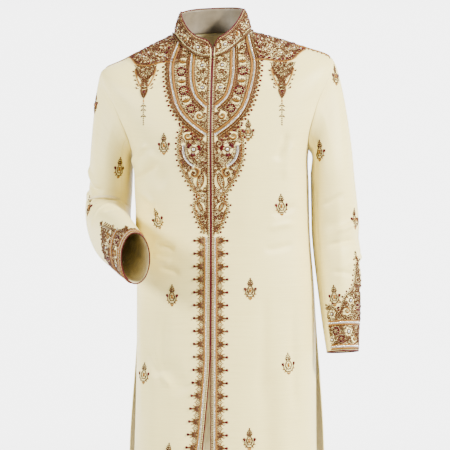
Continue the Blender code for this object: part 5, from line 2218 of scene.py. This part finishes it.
class SHERWANI_OT_pipings(bpy.types.Operator):
    """Make the maroon piping of the front edges, the collar and the cuffs"""

    bl_idname = "sherwani.pipings"
    bl_label = "Pipings"

    def execute(self, context):
        rows = levels()
        rows[-1] -= COLLAR_CLEAR
        for name, side in (("front_piping_left", 1), ("front_piping_right", -1)):
            points, normals = front_edge_line(rows, side, HALF_GAP + PIPING)
            make_piping(name, *even_line(points - normals * WALL / 2, normals, 0.004))
        self.collar_piping()
        for name, side in SIDES:
            outer, normals, _ = LINES["sleeve_" + name]
            way = unit(outer[-1] - outer[-2])
            line = outer[-1] - normals[-1] * WALL / 2 + way * (PIPING + SEAM_GAP)
            make_piping("cuff_piping_" + name, line, normals[-1], round_way=True)
        return {"FINISHED"}

    def collar_piping(self):
        """The piping up the collar's front corners and along its top edge."""
        outer, outward, _, _ = LINES["collar"]
        middle = outer - outward[None] * COLLAR_WALL / 2
        edge = np.concatenate([middle[:-1, 0], middle[-1], middle[-2::-1, -1]])
        first = outward[:1].repeat(COLLAR_ROWS, 0)
        last = outward[-1:].repeat(COLLAR_ROWS, 0)
        facing = np.concatenate([first, outward, last])
        away = unit(np.cross(path_directions(edge), facing))
        if np.mean(np.einsum("ij,ij->i", away, edge - middle[0].mean(axis=0))) < 0:
            away = -away
        line, facing = even_line((edge + away * (PIPING + SEAM_GAP))[1:-1], facing[1:-1], 0.0025)
        make_piping("collar_piping", line, facing)


class SHERWANI_OT_underlap(bpy.types.Operator):
    """Make the strip behind the opening"""

    bl_idname = "sherwani.underlap"
    bl_label = "Underlap"

    def execute(self, context):
        columns = []
        rows = np.linspace(*UNDERLAP_LEVELS, 120)
        for share in (-1, -0.75, -0.5, -0.25, 0, 0.25, 0.5, 0.75, 1):
            side, reach = (-1, UNDERLAP_RIGHT) if share < 0 else (1, UNDERLAP_LEFT)
            columns.append(front_edge_line(rows, side, reach * abs(share)))
        outer = np.stack([points - normals * UNDERLAP_DEPTH for points, normals in columns], axis=1)
        facing = np.stack([normals for _, normals in columns], axis=1)
        inner = outer - facing * UNDERLAP_WALL
        across = np.linspace(-UNDERLAP_RIGHT, UNDERLAP_LEFT, len(columns))
        velvet = [finish("maroon piping"), finish("maroon piping")]
        make_wall("underlap", outer, inner, across, run_lengths(outer)[:, None], velvet)
        return {"FINISHED"}


# Embroidery pieces

GOES_WITH = {}


def sew_on(drawing, plane, title, wall, context):
    """Sew a drawing onto a wall of cloth, and remember its pieces."""
    pieces = drawing.sew(plane, title, context.scene.sherwani_handwork.thread)
    GOES_WITH.setdefault(wall, []).extend(pieces.values())
    return pieces


class SHERWANI_OT_yoke(bpy.types.Operator):
    """Sew the two silver bands and the flowers of the yoke"""

    bl_idname = "sherwani.yoke"
    bl_label = "Yoke"

    def execute(self, context):
        for name, side in SIDES:
            drawing = Drawing()
            draw_yoke(drawing, side)
            pieces = sew_on(drawing, FrontPlane(side), "yoke_" + name, "front_" + name, context)
            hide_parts("yoke_outer_" + name, "yoke_inner_" + name)
        return {"FINISHED"}


class SHERWANI_OT_medallion(bpy.types.Operator):
    """Sew the pointed figure below the yoke"""

    bl_idname = "sherwani.medallion"
    bl_label = "Medallion"

    def execute(self, context):
        for name, side in SIDES:
            drawing = Drawing()
            draw_medallion(drawing, side)
            sew_on(drawing, FrontPlane(side), "medallion_" + name, "front_" + name, context)
        return {"FINISHED"}


class SHERWANI_OT_border(bpy.types.Operator):
    """Sew the beads, the braid and the fans beside the opening"""

    bl_idname = "sherwani.border"
    bl_label = "Front border"

    def execute(self, context):
        for name, side in SIDES:
            drawing = Drawing()
            draw_border(drawing)
            pieces = sew_on(drawing, FrontPlane(side), "border_" + name, "front_" + name, context)
            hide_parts("front_braid_" + name)
        return {"FINISHED"}


class SHERWANI_OT_sprigs(bpy.types.Operator):
    """Sew the sprigs on the fronts and the sleeves"""

    bl_idname = "sherwani.sprigs"
    bl_label = "Sprigs"

    def execute(self, context):
        for name, side, spots in (("left", 1, LEFT_BUTTAS), ("right", -1, RIGHT_BUTTAS)):
            drawing = Drawing()
            for out, level, lean in spots:
                drawing.put(butta, Spot(out, level, lean, BUTTA))
            sew_on(drawing, FrontPlane(side), "sprigs_" + name, "front_" + name, context)
        for name, spots in (("left", LEFT_SLEEVE_BUTTAS), ("right", RIGHT_SLEEVE_BUTTAS)):
            for number, (x, level, lean) in enumerate(spots):
                wall, heart, normal = self.nearest_sleeve(name, x, level)
                drawing = Drawing()
                drawing.put(butta, Spot(0, 0, lean, BUTTA))
                across = np.cross((0, 0, 1), -normal)
                plane = TiltedPlane(SKINS[wall], heart, across, (0, 0, 1), normal)
                sew_on(drawing, plane, f"sleeve_sprig_{name}_{number}", wall, context)
        return {"FINISHED"}

    def nearest_sleeve(self, name, x, level):
        """The sleeve piece that shows at a place in front view, the place on it and its normal."""
        found = []
        for part in ("_upper", "_under"):
            wall = "sleeve_" + name + part
            hit, normal, _, _ = SKINS[wall].ray_cast(Vector((x, -0.7, level)), Vector((0, 1, 0)), 1.4)
            if hit is not None:
                facing = np.array(normal)
                found.append((hit.y, wall, np.array(hit), facing if facing[1] < 0 else -facing))
        if not found:
            raise RuntimeError("no sleeve shows at a sprig's place")
        return min(found, key=lambda entry: entry[0])[1:]


class SHERWANI_OT_shoulders(bpy.types.Operator):
    """Sew the scrolls along the shoulders and the pendants below them"""

    bl_idname = "sherwani.shoulders"
    bl_label = "Shoulders"

    def execute(self, context):
        for name, side in SIDES:
            wall = "front_" + name
            mirror = np.array([side, 1, 1])
            plane = TiltedPlane(
                SKINS[wall], SHOULDER_NECK * mirror, SHOULDER_RUN * mirror, (0, 0.72, 0.70), (0, -0.7, 0.7)
            )
            band, _ = FrontPlane(side).press(beside(curve(YOKE_OUTER, 60), 0.002))
            band = plane.flatten(band[~np.isnan(band[:, 0])])
            drawing = Drawing()
            draw_shoulder(drawing, side, [(u, v, 0.0095) for u, v in band])
            sew_on(drawing, plane, "shoulder_" + name, wall, context)
            drawing = Drawing()
            draw_pendant(drawing, side)
            sew_on(drawing, FrontPlane(side), "pendant_" + name, wall, context)
        return {"FINISHED"}


class SHERWANI_OT_cuffs(bpy.types.Operator):
    """Sew the silver strips and the flowers of the cuffs"""

    bl_idname = "sherwani.cuffs"
    bl_label = "Cuffs"

    def execute(self, context):
        for name in ("left", "right"):
            outer, normals, turns = LINES["sleeve_" + name]
            run = run_lengths(outer)
            reach = np.linalg.norm(np.diff(outer[-1], axis=0), axis=1).sum() / (2 * math.pi)
            back = (run[-1] - run)[::-1]
            plane = WrapPlane(outer[::-1], normals[::-1], np.radians(turns) * reach, back)
            drawing = Drawing()
            draw_cuff(drawing, name, reach)
            pieces = sew_on(drawing, plane, "cuff_" + name, "sleeve_" + name + "_upper", context)
            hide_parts(f"cuff_braid_{name}_low", f"cuff_braid_{name}_high")
        return {"FINISHED"}


class SHERWANI_OT_collar_work(bpy.types.Operator):
    """Sew the collar's scrolls and the thick cord along its seam"""

    bl_idname = "sherwani.collar_work"
    bl_label = "Collar embroidery"

    def execute(self, context):
        outer, outward, places, height = LINES["collar"]
        drawing = Drawing()
        draw_collar(drawing, places, height)

        def share_up(flat):
            share = flat[:, 1] / np.interp(flat[:, 0], places, height)
            return np.where((share < 0) | (share > 1), np.nan, share * COLLAR_ROWS)

        normals = np.broadcast_to(outward, outer.shape)
        sew_on(drawing, WrapPlane(outer, normals, places, share_up), "collar", "collar", context)
        self.seam_cord(context)
        return {"FINISHED"}

    def seam_cord(self, context):
        """Three strands twisted round each other along the collar's seam."""
        _, base, normals, _, _ = neckline(COLLAR_COLUMNS)
        outward = LINES["collar"][1]
        lean = 1 + np.sum(normals * outward, axis=1, keepdims=True)
        line = base + (CORD + CORD_CLEAR) / lean * (normals + outward)
        centres, facing = even_line(line, unit(normals + outward), CORD_STEP)
        centres = centres[2:-2]
        facing = facing[2:-2]
        aside = np.cross(path_directions(centres), facing)
        work = Handwork()
        angles = np.arange(len(centres)) * CORD_STEP / CORD_TWIST * 2 * math.pi
        for strand in range(3):
            swing = (angles + strand * 2 * math.pi / 3)[:, None]
            path = centres + CORD * 0.5 * (np.cos(swing) * facing + np.sin(swing) * aside)
            add_cord(work, path, facing, CORD * 0.52, sides=6)
        # The twisted cord takes the gold darkened as painted shade
        piece = work.finish("collar_cord", finish("gold cord"), "gold_braid")
        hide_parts("collar_cord")
        GOES_WITH.setdefault("collar", []).append(piece)


Cut = namedtuple("Cut", "wall held rests_on width length area trims")


class SHERWANI_OT_cuts(bpy.types.Operator):
    """A step that does nothing: it states nothing about the cuts or what is sewn on"""

    bl_idname = "sherwani.cuts"
    bl_label = "Cuts"

    def execute(self, context):
        return {"FINISHED"}


# Stage

# The light from all round: the heights of its band, its strength at the horizon and above, and ahead
HORIZON_BAND = (0.14, 0.36)
HORIZON_LIGHT = (5.4, 0.3)
AHEAD_LIGHT = 0.1
# The width that the camera takes in, how far its aim stands off the axis, and its height
CAMERA_FIELD = 0.945
CAMERA_AXIS = 0.01785
CAMERA_LEVEL = -0.3885
LIGHT_AIM = Vector((0, 0, -0.4))
LIGHTS = (
    ("key light", (2.9, -1.6, 1.3), 0.5, 530, (1.0, 0.975, 0.925)),
    ("fill light", (-2.4, -1.7, 0.7), 0.8, 200, (1.0, 0.99, 0.97)),
    ("top light", (0.0, 0.6, 2.2), 1.6, 40, (1.0, 1.0, 1.0)),
)


class SHERWANI_OT_stage(bpy.types.Operator):
    """Make the pale floor, the soft lights and the camera"""

    bl_idname = "sherwani.stage"
    bl_label = "Stage"

    def execute(self, context):
        stage = context.scene.sherwani_stage
        ring = on_circle(around(96)) * stage.floor_radius
        ring = np.column_stack([ring, np.full(96, stage.floor_level)])
        floor = make_object("floor", ring, [list(range(96))], [floor_paint("pale floor", stage.floor_colour)])
        self.make_world(stage.light)
        self.make_lights(stage.light)
        self.make_camera(stage)
        return {"FINISHED"}

    def make_world(self, strength):
        """White light from all round, brightest near the horizon."""
        world = bpy.data.worlds.new("white studio")
        bpy.context.scene.world = world
        world.use_nodes = True
        tree = world.node_tree
        back = tree.nodes["Background"]
        place = add_node(tree, "TexCoord", {}).outputs["Generated"]
        parts = add_node(tree, "SeparateXYZ", {"Vector": place})
        band = add_node(tree, "MapRange", {
            "Value": step(tree, "ABSOLUTE", parts.outputs["Z"]),
            "From Min": HORIZON_BAND[0],
            "From Max": HORIZON_BAND[1],
            "To Min": HORIZON_LIGHT[0] * strength,
            "To Max": HORIZON_LIGHT[1] * strength,
        })
        band.interpolation_type = "SMOOTHSTEP"
        facing = spread(tree, parts.outputs["Y"], AHEAD_LIGHT, 1, -1)
        light = step(tree, "MULTIPLY", band.outputs["Result"], facing)
        set_inputs(tree, back, {"Color": (1, 1, 1, 1), "Strength": light})

    def make_lights(self, strength):
        """Large soft lights: one high ahead to each side, and one above."""
        for name, place, size, power, colour in LIGHTS:
            data = bpy.data.lights.new(name, "AREA")
            data.energy = power * strength
            data.size = size
            data.color = colour
            lamp = bpy.data.objects.new(name, data)
            lamp.location = place
            lamp.rotation_euler = (LIGHT_AIM - Vector(place)).to_track_quat("-Z", "Y").to_euler()
            bpy.context.scene.collection.objects.link(lamp)

    def make_camera(self, stage):
        """The camera, level with the waist and a little to the wearer's left."""
        data = bpy.data.cameras.new("camera")
        data.sensor_fit = "HORIZONTAL"
        data.angle = 2 * math.atan(CAMERA_FIELD / 2 / stage.camera_distance)
        camera = bpy.data.objects.new("camera", data)
        turn = stage.camera_turn
        aim = Vector((CAMERA_AXIS * math.cos(turn), CAMERA_AXIS * math.sin(turn), CAMERA_LEVEL))
        back = Vector((math.sin(turn), -math.cos(turn), 0)) * stage.camera_distance
        camera.location = aim + back
        camera.rotation_euler = (-back).to_track_quat("-Z", "Y").to_euler()
        bpy.context.scene.collection.objects.link(camera)
        bpy.context.scene.camera = camera


OPERATORS = (
    SHERWANI_OT_fronts,
    SHERWANI_OT_back,
    SHERWANI_OT_sleeves,
    SHERWANI_OT_collar,
    SHERWANI_OT_pipings,
    SHERWANI_OT_underlap,
    SHERWANI_OT_yoke,
    SHERWANI_OT_medallion,
    SHERWANI_OT_border,
    SHERWANI_OT_sprigs,
    SHERWANI_OT_shoulders,
    SHERWANI_OT_cuffs,
    SHERWANI_OT_collar_work,
    SHERWANI_OT_cuts,
    SHERWANI_OT_stage,
)


class SHERWANI_PT_panel(bpy.types.Panel):
    """The coat's settings and pieces"""

    bl_idname = "SHERWANI_PT_panel"
    bl_label = "Sherwani coat"
    bl_space_type = "VIEW_3D"
    bl_region_type = "UI"
    bl_category = "Sherwani"

    def draw(self, context):
        layout = self.layout
        for title, settings in (
            ("Cloth", context.scene.sherwani_cloth),
            ("Handwork", context.scene.sherwani_handwork),
            ("Stage", context.scene.sherwani_stage),
        ):
            box = layout.box()
            box.label(text=title)
            for key in settings.bl_rna.properties.keys():
                if key not in ("rna_type", "name"):
                    box.prop(settings, key)
        for operator in OPERATORS:
            layout.operator(operator.bl_idname)


SETTINGS = (
    ("sherwani_cloth", SherwaniCloth),
    ("sherwani_handwork", SherwaniHandwork),
    ("sherwani_stage", SherwaniStage),
)


def register():
    """Add the settings, the operators and the panel."""
    for name, group in SETTINGS:
        bpy.utils.register_class(group)
        setattr(bpy.types.Scene, name, bpy.props.PointerProperty(type=group))
    for operator in OPERATORS:
        bpy.utils.register_class(operator)
    bpy.utils.register_class(SHERWANI_PT_panel)


def unregister():
    """Take them away again."""
    bpy.utils.unregister_class(SHERWANI_PT_panel)
    for operator in reversed(OPERATORS):
        bpy.utils.unregister_class(operator)
    for name, group in reversed(SETTINGS):
        delattr(bpy.types.Scene, name)
        bpy.utils.unregister_class(group)


def main():
    """Make every piece in order."""
    register()
    bpy.ops.sherwani.fronts()
    bpy.ops.sherwani.back()
    bpy.ops.sherwani.sleeves()
    bpy.ops.sherwani.collar()
    bpy.ops.sherwani.pipings()
    bpy.ops.sherwani.underlap()
    bpy.ops.sherwani.yoke()
    bpy.ops.sherwani.medallion()
    bpy.ops.sherwani.border()
    bpy.ops.sherwani.sprigs()
    bpy.ops.sherwani.shoulders()
    bpy.ops.sherwani.cuffs()
    bpy.ops.sherwani.collar_work()
    bpy.ops.sherwani.cuts()
    bpy.ops.sherwani.stage()


if __name__ == "__main__":
    main()
